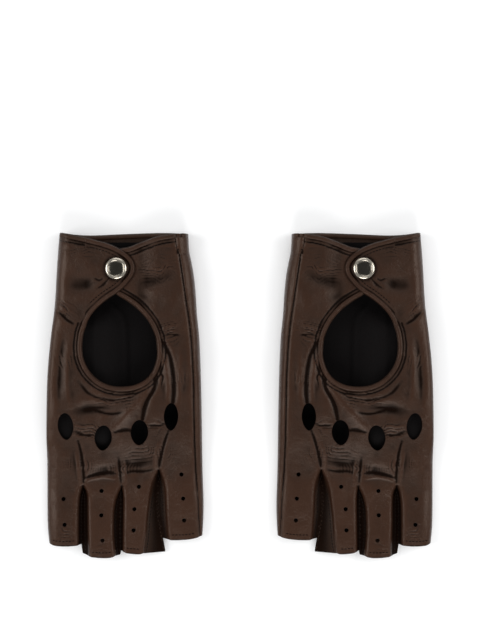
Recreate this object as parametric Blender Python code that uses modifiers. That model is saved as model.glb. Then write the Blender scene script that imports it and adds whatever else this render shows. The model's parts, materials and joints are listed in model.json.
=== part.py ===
"""Pair of fingerless leather driving gloves, lying side by side, backs up.

Metres, +Z up. The fingers point along -Y and the cuffs along +Y. The left glove lies at
-X and the right glove, its mirror image, at +X. The origin is under the middle of the
pair. Each glove is a leather shell around an open cavity, with a wrist tab that closes
over an underlap with a snap fastener, four open finger stalls and a thumb stall that is
folded under the palm. The left glove is modelled, and the right one is its reflection.
"""
import math

import bmesh
import bpy
from mathutils import Matrix, Vector

MM = 0.001

# Overall sizes
GLOVE_LENGTH = 185.0 * MM       # cuff edge to the end of the middle finger
CUFF_WIDTH = 73.4 * MM
PAIR_GAP = 41.6 * MM            # free floor between the two gloves
BACK_HEIGHT = 15.6 * MM         # top of the leather over the palm and the wrist
FINGER_HEIGHT = 9.0 * MM
TAPER_LENGTH = 92.0 * MM        # the cuff widens to the hand over this length
KNUCKLE_SLOPE_START = 42.0 * MM  # the back rises from the fingers' height, from the end on
KNUCKLE_SLOPE = 50.0 * MM

# Materials' thicknesses and the spaces between pieces
LEATHER = 1.0 * MM
LINING = 0.6 * MM
LINING_LIFT = 1.0 * MM          # free height between the palm and its lining
CLEARANCE = 0.3 * MM
BINDING_RADIUS = 1.1 * MM
SHOULDER_RADIUS = 5.0 * MM
STALL_ROUND = 3.6 * MM          # rounded outer side of the index stall
SIDE_STRIP = 4.2 * MM           # palm leather that wraps up to the back at the little side
FACET_LEAN = math.radians(15.0)  # lean of a rounded side's last facet, in three facets
SEAM_SPACE = 0.0412 * MM        # free space past the inner edge of such a facet

# Fingers, from the index outwards: name, width, gap to the next, then distances from the
# end of the middle finger: own end, bending line, crotch towards the next finger
FINGERS = (
    ("index", 18.4 * MM, 2.0 * MM, 6.8 * MM, 35.1 * MM, 39.9 * MM),
    ("middle", 18.3 * MM, 4.6 * MM, 0.0, 35.1 * MM, 40.2 * MM),
    ("ring", 19.9 * MM, 4.7 * MM, 2.2 * MM, 35.1 * MM, 49.3 * MM),
    ("little", 21.3 * MM, 0.0, 10.8 * MM, 43.6 * MM, 49.3 * MM),
)
CURL_LIMIT = math.radians(40.0)
FINGER_LIP = 2.2 * MM           # how far a stall's back and palm turn down its sides
VENT_RADIUS = 1.1 * MM
VENTS = {                       # across from the finger's middle, then up from its own end
    "index": (0.7 * MM, (12.1 * MM, 26.7 * MM)),
    "middle": (1.8 * MM, (9.8 * MM, 24.1 * MM)),
    "ring": (-2.6 * MM, (13.3 * MM, 25.3 * MM)),
    "little": (-1.0 * MM, (10.5 * MM, 23.0 * MM)),
}
KNUCKLE_LINE = 68.3 * MM        # lowest hole's centre, from the end of the middle finger
KNUCKLE_HOLES = {               # across from the finger's middle, up, width, height
    "index": (2.1 * MM, 6.7 * MM, 8.5 * MM, 15.0 * MM),
    "middle": (2.9 * MM, 0.0, 9.5 * MM, 14.0 * MM),
    "ring": (-0.1 * MM, 3.2 * MM, 9.8 * MM, 14.4 * MM),
    "little": (-7.5 * MM, 12.2 * MM, 7.7 * MM, 15.7 * MM),
}

# Wrist opening, tab and snap, as distances across from the glove's middle (the little
# finger's side is positive) and down from the cuff edge
OPENING_ACROSS = -2.7 * MM
OPENING_DOWN = 65.4 * MM
OPENING_HALF_WIDTH = 21.5 * MM
OPENING_BELOW = 22.3 * MM
OPENING_ABOVE = 29.5 * MM
OPENING_POINT = 1.6             # 2 is an ellipse, less is a more pointed top
SNAP_ACROSS = -4.5 * MM
SNAP_DOWN = 20.7 * MM
TAB_RADIUS = 10.4 * MM          # round end of the tab, about the snap
TAB_HINGE_ACROSS = -21.9 * MM
TAB_TOP_DOWN = 3.1 * MM         # the tab's upper corner at the bending line
TAB_ROOT_SPACE = 1.0 * MM       # room for the tab's root as it folds back
UNDERLAP_RADIUS = 8.6 * MM
UNDERLAP_CORNER = 1.1 * MM      # its outer corner, below the cuff edge
UNDERLAP_SLOPE = 10.4 * MM      # fall of its upper edge from the corner to the snap
DIP_SLOPE = 8.0 * MM            # length over which the underlap dips
CUFF_PATCH_LENGTH = 12.0 * MM
CUFF_PATCH_REACH = 2.4 * MM     # leather of the patch beyond the side strip

# Snap fastener
CAP_RADIUS = 6.25 * MM
CAP_HEIGHT = 2.2 * MM
SOCKET_RADIUS = 4.6 * MM
SOCKET_HEIGHT = 1.2 * MM
STUD_RADIUS = 1.8 * MM
STUD_FLANGE_RADIUS = 3.8 * MM
STUD_FLANGE = 0.4 * MM
STUD_FIT = 0.5 * MM             # radial play of the stud in the socket
POST_RADIUS = 4.5 * MM
POST_THICKNESS = 0.5 * MM

# Thumb stall, folded flat under the palm
THUMB_HEIGHT = 6.5 * MM
THUMB_HALF_WIDTH = 13.6 * MM
THUMB_LENGTH = 35.0 * MM        # from its swing axis to its open end
THUMB_ACROSS = -29.5 * MM
THUMB_DOWN = 72.0 * MM
THUMB_HOLE_RADIUS = 10.0 * MM
THUMB_ROUND = 2.6 * MM
RECESS_MARGIN = 2.5 * MM        # free palm around the folded thumb
RECESS_SLOPE = 17.0 * MM

HAND_WIDTH = sum(finger[1] + finger[2] for finger in FINGERS)
MIDDLE_X = -(PAIR_GAP + HAND_WIDTH) / 2.0        # middle line of the left glove
CUFF_Y = GLOVE_LENGTH / 2.0
TIP_Y = -GLOVE_LENGTH / 2.0
HINGE_Z = FINGER_HEIGHT / 2.0
KNUCKLE_SLOPE_Y = TIP_Y + KNUCKLE_SLOPE_START
THUMB_REACH = THUMB_HALF_WIDTH + RECESS_MARGIN
SEAM_GAP = LEATHER * math.sin(FACET_LEAN) + SEAM_SPACE   # at the end of a rounded side
HINGE_SPACE = HINGE_Z * math.sin(CURL_LIMIT) + CLEARANCE
SNAP = (MIDDLE_X + SNAP_ACROSS, CUFF_Y - SNAP_DOWN)
THUMB = (MIDDLE_X + THUMB_ACROSS, CUFF_Y - THUMB_DOWN)
TAB_HINGE_X = MIDDLE_X + TAB_HINGE_ACROSS
OPENING = (MIDDLE_X + OPENING_ACROSS, CUFF_Y - OPENING_DOWN)
UNDERLAP_DIP = LEATHER + SOCKET_HEIGHT + STUD_FLANGE + 3.0 * CLEARANCE   # below the back
UNDERLAP_TOP = BACK_HEIGHT - UNDERLAP_DIP


# ---------------------------------------------------------------- scene and materials
def clear_scene():
    for old in list(bpy.data.objects):
        bpy.data.objects.remove(old, do_unlink=True)


def collection(name):
    made = bpy.data.collections.new(name)
    bpy.context.scene.collection.children.link(made)
    return made


def material(name, colour, roughness, metallic=0.0):
    made = bpy.data.materials.new(name)
    made.use_nodes = True
    shader = made.node_tree.nodes["Principled BSDF"]
    shader.inputs["Base Color"].default_value = (*colour, 1.0)
    shader.inputs["Roughness"].default_value = roughness
    shader.inputs["Metallic"].default_value = metallic
    return made


clear_scene()
PARTS = collection("driving_gloves")
CUTTERS = collection("cutters")
BROWN = material("brown_nappa", (0.048, 0.030, 0.023), 0.42)
DARK = material("dark_binding_leather", (0.034, 0.021, 0.017), 0.45)
BLACK = material("black_lining", (0.008, 0.007, 0.007), 0.85)
STEEL = material("polished_snap_metal", (0.72, 0.69, 0.64), 0.18, 1.0)


# ---------------------------------------------------------------- curves in the plane
def ease(value):
    value = min(max(value, 0.0), 1.0)
    return value * value * (3.0 - 2.0 * value)


def arc(centre, radius, start, end, steps):
    angles = [math.radians(start + (end - start) * i / steps) for i in range(steps + 1)]
    return [(centre[0] + radius * math.cos(a), centre[1] + radius * math.sin(a)) for a in angles]


def sideways(points, distance):
    """Move an open line of points to its left, or to its right for a negative distance."""
    moved = []
    for i, point in enumerate(points):
        ahead = points[min(i + 1, len(points) - 1)]
        behind = points[max(i - 1, 0)]
        along = Vector((ahead[0] - behind[0], ahead[1] - behind[1])).normalized()
        moved.append((point[0] - along.y * distance, point[1] + along.x * distance))
    return moved


def opening_point(angle):
    """Point of the drop-shaped wrist opening: an ellipse below, a soft point above."""
    c, s = math.cos(math.radians(angle)), math.sin(math.radians(angle))
    power = 2.0 if s < 0 else OPENING_POINT
    height = OPENING_BELOW if s < 0 else OPENING_ABOVE
    x = math.copysign(abs(c) ** (2.0 / power), c) * OPENING_HALF_WIDTH
    y = math.copysign(abs(s) ** (2.0 / power), s) * height
    return OPENING[0] + x, OPENING[1] + y


def opening_angle_at_hinge():
    share = (OPENING[0] - TAB_HINGE_X) / OPENING_HALF_WIDTH
    return 180.0 - math.degrees(math.acos(share ** (OPENING_POINT / 2.0)))


def opening_arc(start, end, steps):
    return [opening_point(start + (end - start) * i / steps) for i in range(steps + 1)]


def opening_line():
    """Edge of the opening on the hand: from the tab's root down, round and up to the underlap."""
    return opening_arc(opening_angle_at_hinge(), 440.0, 24)


def underlap_line():
    """Edge of the underlap: round its hidden end and out along its upper edge to the cuff."""
    end = arc(SNAP, UNDERLAP_RADIUS, 225.0, 110.0, 8)
    patch = SIDE_STRIP + CUFF_PATCH_REACH + 2.0 * BINDING_RADIUS
    corner = (MIDDLE_X + CUFF_WIDTH / 2.0 - patch, CUFF_Y - UNDERLAP_CORNER)
    middle = ((end[-1][0] + corner[0]) / 2.0, corner[1] - UNDERLAP_SLOPE * 0.5)
    return end + [middle, corner]


def tab_line():
    """Free edge of the tab, from its lower root round the tip to its upper root."""
    tip = arc(SNAP, TAB_RADIUS, -53.0, 66.0, 10)
    corner = (TAB_HINGE_X, CUFF_Y - TAB_TOP_DOWN)
    shoulder = ((tip[-1][0] + corner[0]) / 2.0, corner[1] - (corner[1] - tip[-1][1]) * 0.35)
    return opening_arc(opening_angle_at_hinge(), 97.0, 6) + tip + [shoulder, corner]


# ---------------------------------------------------------------- heights and sections
def edges(y):
    width = CUFF_WIDTH + (HAND_WIDTH - CUFF_WIDTH) * ease((CUFF_Y - y) / TAPER_LENGTH)
    return MIDDLE_X - width / 2.0, MIDDLE_X + width / 2.0


def top_height(y):
    rise = ease((y - KNUCKLE_SLOPE_Y) / KNUCKLE_SLOPE)
    return FINGER_HEIGHT + (BACK_HEIGHT - FINGER_HEIGHT) * rise


def back_height(x, y):
    """The back is level, and the underlap dips so that it passes under the tab."""
    across = ease((SNAP[0] + TAB_RADIUS + 2.0 * DIP_SLOPE - x) / DIP_SLOPE)
    across *= ease((x - TAB_HINGE_X) / (0.2 * DIP_SLOPE))
    along = ease((y - OPENING[1] - OPENING_ABOVE + 1.5 * DIP_SLOPE) / DIP_SLOPE)
    return top_height(y) - UNDERLAP_DIP * across * along


def palm_height(x, y):
    """The palm is level, and a recess holds the folded thumb stall."""
    across = ease((THUMB[0] + THUMB_REACH + RECESS_SLOPE - x) / RECESS_SLOPE)
    below = ease((y - THUMB[1] + THUMB_LENGTH + 0.4 * THUMB_REACH + RECESS_SLOPE) / RECESS_SLOPE)
    above = ease((THUMB[1] + THUMB_REACH + RECESS_SLOPE - y) / RECESS_SLOPE)
    return (THUMB_HEIGHT + CLEARANCE) * across * below * above


def spread(start, end, count):
    return [start + (end - start) * (i + 1) / (count + 1) for i in range(count)]


def seam_height(y):
    return (top_height(y) + palm_height(edges(y)[0], y)) / 2.0


def back_section(y):
    left, right = edges(y)
    top, seam = top_height(y), seam_height(y) + CLEARANCE / 2.0
    radius = min(SHOULDER_RADIUS, 0.9 * (top - seam))
    end = right - SIDE_STRIP - SEAM_GAP
    line = [(left, seam)] + arc((left + radius, top - radius), radius, 180.0, 90.0, 3)
    line += [(x, back_height(x, y)) for x in spread(left + radius, end, 16)]
    return line + [(end, back_height(end, y))]


def palm_round(y):
    """Height of the palm's seam at the index side, and the radius of the round below it."""
    seam = seam_height(y) - CLEARANCE / 2.0
    return seam, min(SHOULDER_RADIUS, 0.9 * (seam - palm_height(edges(y)[0], y)))


def palm_columns(y):
    """Places across the palm that the leather and its lining share, so that they stay parallel."""
    left, right = edges(y)
    return spread(left + palm_round(y)[1], right - SIDE_STRIP, 12)


def palm_section(y):
    left, right = edges(y)
    low, top = palm_height(left, y), top_height(y)
    seam, radius = palm_round(y)
    line = [(left, seam)] + arc((left + radius, low + radius), radius, 180.0, 270.0, 3)
    line += [(x, palm_height(x, y)) for x in palm_columns(y)]
    line += arc((right - SIDE_STRIP, SIDE_STRIP), SIDE_STRIP, 270.0, 360.0, 3)
    return line + arc((right - SIDE_STRIP, top - SIDE_STRIP), SIDE_STRIP, 0.0, 90.0, 3)


def lining_section(y):
    left, right = edges(y)
    start, end = left + SHOULDER_RADIUS + LEATHER, right - SHOULDER_RADIUS - LEATHER
    return [(x, palm_height(x, y) + LEATHER + LINING_LIFT) for x in [start] + palm_columns(y) + [end]]


def patch_section(y):
    right, top = edges(y)[1], top_height(y)
    line = [(right - SIDE_STRIP - CUFF_PATCH_REACH, top + CLEARANCE)]
    line += arc((right - SIDE_STRIP, top - SIDE_STRIP), SIDE_STRIP + CLEARANCE, 90.0, 0.0, 4)
    return line + [(right + CLEARANCE, top / 2.0)]


def wrap_section(outer, inner, top, radius):
    """Leather that comes from the inner side below, round the outer side and back on top."""
    line = [(inner, 0.0)] + arc((outer + radius, radius), radius, 270.0, 180.0, 3)
    return line + arc((outer + radius, top - radius), radius, 180.0, 90.0, 3) + [(inner, top)]


def lid_section(left, right, top, lip):
    """A stall's back: level, with both sides turned down."""
    line = arc((left + lip, top - lip), lip, 180.0, 90.0, 3)
    return line + arc((right - lip, top - lip), lip, 90.0, 0.0, 3)


def tray_section(left, right, lip):
    """A stall's palm: level, with both sides turned up."""
    line = arc((left + lip, lip), lip, 180.0, 270.0, 3)
    return line + arc((right - lip, lip), lip, 270.0, 360.0, 3)


def side_tray_section(left, right, lip, top):
    """The little finger's palm, which also wraps up its outer side to the back."""
    line = arc((left + lip, lip), lip, 180.0, 270.0, 3)
    line += arc((right - SIDE_STRIP, SIDE_STRIP), SIDE_STRIP, 270.0, 360.0, 3)
    return line + arc((right - SIDE_STRIP, top - SIDE_STRIP), SIDE_STRIP, 0.0, 90.0, 3)


# ---------------------------------------------------------------- shapes
def new_object(name, data, paint, folder=None):
    made = bpy.data.objects.new(name, data)
    (folder or PARTS).objects.link(made)
    if paint is not None:
        data.materials.append(paint)
    return made


def sheet(name, rows, section, thickness, outward, paint):
    """A leather sheet: a grid laid through sections across the glove, then made solid.

    The section gives the outer face, and outward says that its normals point out."""
    lines = [section(y) for y in rows]
    columns, steps = len(lines[0]) - 1, len(rows) - 1
    bm = bmesh.new()
    bmesh.ops.create_grid(bm, x_segments=columns, y_segments=steps, size=0.5)
    for vertex in bm.verts:
        i, j = round((vertex.co.x + 0.5) * columns), round((vertex.co.y + 0.5) * steps)
        x, z = lines[j][i]
        vertex.co = (x, rows[j], z)
    mesh = bpy.data.meshes.new(name)
    bm.to_mesh(mesh)
    bm.free()
    made = new_object(name, mesh, paint)
    solid = made.modifiers.new("thickness", "SOLIDIFY")
    solid.thickness = thickness
    solid.offset = -1.0 if outward else 1.0
    solid.use_even_offset = True
    return made


def cutter(name, points, low=-20.0 * MM, high=40.0 * MM):
    """Upright prism over a closed outline, from a filled 2D curve."""
    curve = bpy.data.curves.new(name, "CURVE")
    curve.dimensions = "2D"
    curve.fill_mode = "BOTH"
    curve.extrude = (high - low) / 2.0
    spline = curve.splines.new("POLY")
    spline.points.add(len(points) - 1)
    for slot, point in zip(spline.points, points):
        slot.co = (point[0], point[1], 0.0, 1.0)
    spline.use_cyclic_u = True
    outline = new_object(name + "_outline", curve, None, CUTTERS)
    outline.location.z = (low + high) / 2.0
    bpy.context.view_layer.update()
    ready = outline.evaluated_get(bpy.context.evaluated_depsgraph_get())
    mesh = bpy.data.meshes.new_from_object(ready)
    mesh.name = name
    weld_and_face_out(mesh)
    made = new_object(name, mesh, None, CUTTERS)
    made.matrix_world = outline.matrix_world.copy()
    made.hide_render = True
    made.display_type = "WIRE"
    bpy.data.objects.remove(outline, do_unlink=True)
    return made


def weld_and_face_out(mesh):
    bm = bmesh.new()
    bm.from_mesh(mesh)
    bmesh.ops.remove_doubles(bm, verts=bm.verts, dist=0.00001)
    bmesh.ops.recalc_face_normals(bm, faces=bm.faces)
    bm.to_mesh(mesh)
    bm.free()


def boolean(target, tools, operation="DIFFERENCE"):
    """Cut a sheet with each tool in turn. Its bent faces become flat triangles first."""
    target.modifiers.new("flat_faces", "TRIANGULATE")
    for tool in tools:
        step = target.modifiers.new(tool.name, "BOOLEAN")
        step.operation = operation
        step.object = tool
        step.solver = "EXACT"


def piping(name, points, radius, paint):
    """A rolled edge binding along a line of points (x, y, z)."""
    curve = bpy.data.curves.new(name, "CURVE")
    curve.dimensions = "3D"
    curve.bevel_depth = radius
    curve.bevel_resolution = 1
    curve.use_fill_caps = True
    spline = curve.splines.new("POLY")
    spline.points.add(len(points) - 1)
    for slot, point in zip(spline.points, points):
        slot.co = (*point, 1.0)
    return new_object(name, curve, paint)


def turned(name, profile, closed, centre, steps, paint):
    """A solid turned about an upright axis at centre; the profile runs top to bottom."""
    mesh = bpy.data.meshes.new(name)
    links = [(i, i + 1) for i in range(len(profile) - 1)]
    links += [(len(profile) - 1, 0)] if closed else []
    mesh.from_pydata([(r, 0.0, z) for r, z in profile], links, [])
    made = new_object(name, mesh, paint)
    made.location = (centre[0], centre[1], 0.0)
    screw = made.modifiers.new("turn", "SCREW")
    screw.steps = steps
    screw.render_steps = steps
    screw.use_merge_vertices = True
    screw.merge_threshold = 0.00002
    return made


def finished_mesh(made):
    """The evaluated mesh of an object in world space, closed and facing out."""
    bpy.context.view_layer.update()
    ready = made.evaluated_get(bpy.context.evaluated_depsgraph_get())
    mesh = bpy.data.meshes.new_from_object(ready)
    mesh.transform(made.matrix_world)
    weld_and_face_out(mesh)
    return mesh


# ---------------------------------------------------------------- bodies
PIVOTS = {
    "hand": (MIDDLE_X, 0.0, 0.0),
    "tab": (TAB_HINGE_X, CUFF_Y - TAB_TOP_DOWN, BACK_HEIGHT - LEATHER / 2.0),
    "thumb": (THUMB[0], THUMB[1], THUMB_HEIGHT / 2.0),
}


def finger_places():
    """For each finger: name, left and right side, open end, bending line, crotch beyond it."""
    places, left = [], edges(TIP_Y)[0]
    for name, width, gap, end, bend, crotch in FINGERS:
        places.append((name, left, left + width, TIP_Y + end, TIP_Y + bend, TIP_Y + crotch))
        left += width + gap
    return places


PLACES = finger_places()
for place in PLACES:
    PIVOTS[place[0]] = ((place[1] + place[2]) / 2.0, place[4], HINGE_Z)


def hinge_empties():
    """One empty on each moving piece's axis, and one for each hand."""
    made = {}
    for side, sign in (("left", 1.0), ("right", -1.0)):
        for body, (x, y, z) in PIVOTS.items():
            empty = bpy.data.objects.new(f"{side}_{body}_axis", None)
            empty.empty_display_size = 0.01
            empty.location = (sign * x, y, z)
            PARTS.objects.link(empty)
            made[side, body] = empty
    return made


def place_on_both_gloves(made, body, empties):
    """Replace the modelled left piece by its finished solid, and add its mirror image."""
    mesh, name = finished_mesh(made), made.name
    bpy.data.objects.remove(made, do_unlink=True)
    for side, sign in (("left", 1.0), ("right", -1.0)):
        copy = mesh.copy()
        copy.name = f"{side}_{name}"
        if sign < 0.0:
            copy.transform(Matrix.Scale(-1.0, 4, (1.0, 0.0, 0.0)))
            copy.flip_normals()
        home = empties[side, body]
        copy.transform(Matrix.Translation(-home.location))
        copy.shade_smooth()
        copy.set_sharp_from_angle(angle=math.radians(35.0))
        piece = bpy.data.objects.new(f"{side}_{name}", copy)
        PARTS.objects.link(piece)
        piece.parent = home


# ---------------------------------------------------------------- the hand
def stations(start, end, step):
    count = max(1, round((end - start) / step))
    return [start + (end - start) * i / count for i in range(count + 1)]


def knuckle_cutter():
    """Removes what lies beyond the bending lines and between the fingers."""
    line, far = [], TIP_Y - 20.0 * MM
    for name, left, right, _, bend, crotch in PLACES:
        line += [(left - CLEARANCE, bend + HINGE_SPACE), (right + CLEARANCE, bend + HINGE_SPACE)]
        if name != "little":
            line += [(right + CLEARANCE, crotch), (right + CLEARANCE + next_gap(name), crotch)]
    line[0] = (line[0][0] - 20.0 * MM, line[0][1])
    line[-1] = (line[-1][0] + 20.0 * MM, line[-1][1])
    clean = [p for i, p in enumerate(line) if i == 0 or p != line[i - 1]]
    return cutter("beyond_the_knuckles", clean + [(clean[-1][0], far), (clean[0][0], far)])


def next_gap(name):
    return next(f[2] for f in FINGERS if f[0] == name) - 2.0 * CLEARANCE


def knuckle_hole_cutters():
    made = []
    for name, left, right, *_ in PLACES:
        across, up, width, height = KNUCKLE_HOLES[name]
        centre = ((left + right) / 2.0 + across, TIP_Y + KNUCKLE_LINE + up)
        oval = [(centre[0] + width / 2.0 * math.cos(a), centre[1] + height / 2.0 * math.sin(a))
                for a in (math.tau * i / 14 for i in range(14))]
        made.append(cutter(name + "_knuckle_hole", oval, low=FINGER_HEIGHT / 2.0))
    return made


def wrist_cutter():
    """The opening, the space under the tab and the notch above the underlap, as one outline."""
    margin = 2.0 * BINDING_RADIUS + CLEARANCE
    line = sideways(opening_line() + underlap_line(), -margin)
    top = CUFF_Y + 20.0 * MM
    far = line[-1][0] + 20.0 * MM
    near = TAB_HINGE_X - TAB_ROOT_SPACE
    start = [(near, top), (near, line[0][1])]
    return cutter("wrist_opening", start + line[1:] + [(far, line[-1][1]), (far, top)], low=6.0 * MM)


def make_hand():
    knuckles, wrist, snap_hole = knuckle_cutter(), wrist_cutter(), round_cutter(
        "stud_hole", SNAP, STUD_RADIUS + CLEARANCE, 6.0 * MM)
    thumb_hole = round_cutter("thumb_hole", THUMB, THUMB_HOLE_RADIUS)
    low = min(place[4] for place in PLACES)
    leather_end = CUFF_Y - 2.0 * BINDING_RADIUS - CLEARANCE
    rows = stations(low, leather_end, 8.5 * MM)
    back = sheet("back_panel", rows, back_section, LEATHER, True, BROWN)
    boolean(back, [knuckles, wrist, snap_hole] + knuckle_hole_cutters())
    palm = sheet("palm_panel", rows, palm_section, LEATHER, False, BROWN)
    boolean(palm, [knuckles, thumb_hole])
    start, end = PLACES[-1][5], leather_end - LEATHER
    lining_rows = [start] + [y for y in rows if start < y < end] + [end]
    lining = sheet("palm_lining", lining_rows, lining_section, LINING, False, BLACK)
    boolean(lining, [thumb_hole])
    right = CUFF_Y - 2.0 * BINDING_RADIUS - 2.0 * CLEARANCE
    patch_rows = stations(right - CUFF_PATCH_LENGTH, right, CUFF_PATCH_LENGTH)
    patch = sheet("cuff_side_patch", patch_rows, patch_section, LEATHER, False, BROWN)
    return [back, palm, lining, patch]


def round_cutter(name, centre, radius, low=-20.0 * MM):
    return cutter(name, arc(centre, radius, 0.0, 345.0, 23), low)


def make_bindings():
    """Rolled bindings round the opening, along the underlap and along the palm's cuff."""
    drop = LEATHER / 2.0
    line = opening_line()[1:] + underlap_line()
    edge = sideways(line, -BINDING_RADIUS)
    points = [(x, y, back_height(x, y) - drop) for x, y in edge]
    opening = piping("opening_binding", points, BINDING_RADIUS, DARK)
    left, right = edges(CUFF_Y)
    left, right, turn = left + BINDING_RADIUS, right - BINDING_RADIUS, SHOULDER_RADIUS
    low, high = BINDING_RADIUS + CLEARANCE, BACK_HEIGHT - drop
    ring = [(TAB_HINGE_X - BINDING_RADIUS, high)] + arc((left + turn, high - turn), turn, 90.0, 180.0, 3)
    ring += arc((left + turn, low + turn), turn, 180.0, 270.0, 3)
    ring += [(x, low) for x in spread(left + turn, right - turn, 3)]
    ring += arc((right - turn, low + turn), turn, 270.0, 360.0, 3)
    ring.append((right, high - turn))
    cuff = [(x, CUFF_Y - BINDING_RADIUS, z) for x, z in ring]
    return [opening, piping("cuff_binding", cuff, BINDING_RADIUS, DARK)]


def make_snap_stud():
    """Stud on the underlap, and the flat post that holds it from inside."""
    base = UNDERLAP_TOP + CLEARANCE
    top = base + STUD_FLANGE + CLEARANCE + SOCKET_HEIGHT
    below = UNDERLAP_TOP - LEATHER
    profile = [(0.0, top), (0.7 * STUD_RADIUS, top), (STUD_RADIUS, top - 0.4 * MM)]
    profile += [(STUD_RADIUS, base + STUD_FLANGE), (STUD_FLANGE_RADIUS, base + STUD_FLANGE)]
    profile += [(STUD_FLANGE_RADIUS, base), (STUD_RADIUS, base), (STUD_RADIUS, below), (0.0, below)]
    stud = turned("snap_stud", profile, False, SNAP, 20, STEEL)
    high = below - CLEARANCE
    profile = [(0.0, high), (POST_RADIUS, high), (POST_RADIUS, high - POST_THICKNESS)]
    profile += [(0.0, high - POST_THICKNESS)]
    return [stud, turned("snap_post", profile, False, SNAP, 20, STEEL)]


# ---------------------------------------------------------------- the wrist tab
def first_past_root(inset):
    """Number of the first point of the inset edge that lies past the tab's root."""
    line = sideways(tab_line(), inset)
    return next(i for i, point in enumerate(line) if point[0] > TAB_HINGE_X + CLEARANCE)


def tab_outline(inset):
    line, near, first = sideways(tab_line(), inset), TAB_HINGE_X + CLEARANCE, first_past_root(inset)
    return [(near, line[first - 1][1])] + line[first:-1] + [(near, line[-1][1])]


def make_tab():
    margin = 2.0 * BINDING_RADIUS + CLEARANCE
    far = SNAP[0] + TAB_RADIUS + MM
    near = tab_outline(0.0)[0][1] - MM
    rows = stations(near, CUFF_Y, 12.0 * MM)

    def level(z):
        xs = [TAB_HINGE_X] + spread(TAB_HINGE_X, far, 3) + [far]
        return lambda y: [(x, z) for x in xs]

    tab = sheet("wrist_tab", rows, level(BACK_HEIGHT), LEATHER, True, BROWN)
    boolean(tab, [cutter("tab_shape", tab_outline(margin), 6.0 * MM)], "INTERSECT")
    facing_top = BACK_HEIGHT - LEATHER - CLEARANCE
    facing = sheet("tab_facing", rows, level(facing_top), LINING, True, BLACK)
    boolean(facing, [cutter("facing_shape", tab_outline(margin), 6.0 * MM)], "INTERSECT")
    boolean(facing, [round_cutter("socket_hole", SNAP, SOCKET_RADIUS + CLEARANCE, 6.0 * MM)])
    edge = sideways(tab_line(), BINDING_RADIUS)[first_past_root(margin):-1]
    root = TAB_HINGE_X + BINDING_RADIUS
    edge.append((root, tab_line()[-1][1] - BINDING_RADIUS))
    points = [(x, y, BACK_HEIGHT - LEATHER / 2.0) for x, y in edge]
    binding = piping("tab_binding", points, BINDING_RADIUS, DARK)
    return [tab, facing, binding]


def make_snap_cap():
    """Plain domed cap with a raised rim on the tab, and the ring socket beneath it."""
    base = BACK_HEIGHT + CLEARANCE
    inner = CAP_RADIUS * 0.84
    dome = [(inner * math.sin(a), base + CAP_HEIGHT * (0.45 + 0.55 * math.cos(a)))
            for a in (math.pi / 2.0 * i / 5 for i in range(6))]
    rim = [(CAP_RADIUS * 0.92, base + CAP_HEIGHT * 0.62), (CAP_RADIUS, base + CAP_HEIGHT * 0.4)]
    profile = dome + rim + [(CAP_RADIUS, base), (0.0, base)]
    cap = turned("snap_cap", profile, False, SNAP, 28, STEEL)
    low = UNDERLAP_TOP + 2.0 * CLEARANCE + STUD_FLANGE
    high, bore = low + SOCKET_HEIGHT, STUD_RADIUS + STUD_FIT
    ring = [(bore, high), (SOCKET_RADIUS, high), (SOCKET_RADIUS, low), (bore, low)]
    return [cap, turned("snap_socket", ring, True, SNAP, 20, STEEL)]


# ---------------------------------------------------------------- fingers and thumb
def strip(name, x, low, high, rows, outward):
    """An upright strip of leather along a stall, between its back and its palm."""
    return sheet(name, rows, lambda y: [(x, low), (x, (low + high) / 2.0), (x, high)],
                 LEATHER, outward, BROWN)


def make_finger(place):
    name, left, right, end, bend, _ = place
    rows = [end, bend - HINGE_SPACE]
    lip, top = FINGER_LIP, FINGER_HEIGHT
    low, high = lip + SEAM_GAP, top - lip - SEAM_GAP
    made = []
    if name == "index":
        edge = right - LEATHER - CLEARANCE
        made.append(sheet("index_stall", rows, lambda y: wrap_section(left, edge, top, STALL_ROUND),
                          LEATHER, True, BROWN))
        backs = made[0]
    elif name == "little":
        seam = right - SIDE_STRIP - SEAM_GAP
        backs = sheet("little_back", rows, lambda y: lid_section(left, seam, top, lip)[:5] + [(seam, top)],
                      LEATHER, True, BROWN)
        made.append(backs)
        made.append(sheet("little_palm", rows, lambda y: side_tray_section(left, right, lip, top),
                          LEATHER, False, BROWN))
    else:
        backs = sheet(name + "_back", rows, lambda y: lid_section(left, right, top, lip),
                      LEATHER, True, BROWN)
        made.append(backs)
        made.append(sheet(name + "_palm", rows, lambda y: tray_section(left, right, lip),
                          LEATHER, False, BROWN))
        made.append(strip(name + "_inner_fourchette", left, low, high, rows, True))
    if name == "index":
        made.append(strip("index_fourchette", right, 0.0, top, rows, False))
    elif name == "little":
        made.append(strip("little_fourchette", left, low, high, rows, True))
    else:
        made.append(strip(name + "_outer_fourchette", right, low, high, rows, False))
    across, heights = VENTS[name]
    centres = [((left + right) / 2.0 + across, end + up) for up in heights]
    boolean(backs, [cutter(f"{name}_vent_{i + 1}", arc(centre, VENT_RADIUS, 0.0, 315.0, 7), top / 2.0)
                    for i, centre in enumerate(centres)])
    return made


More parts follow.
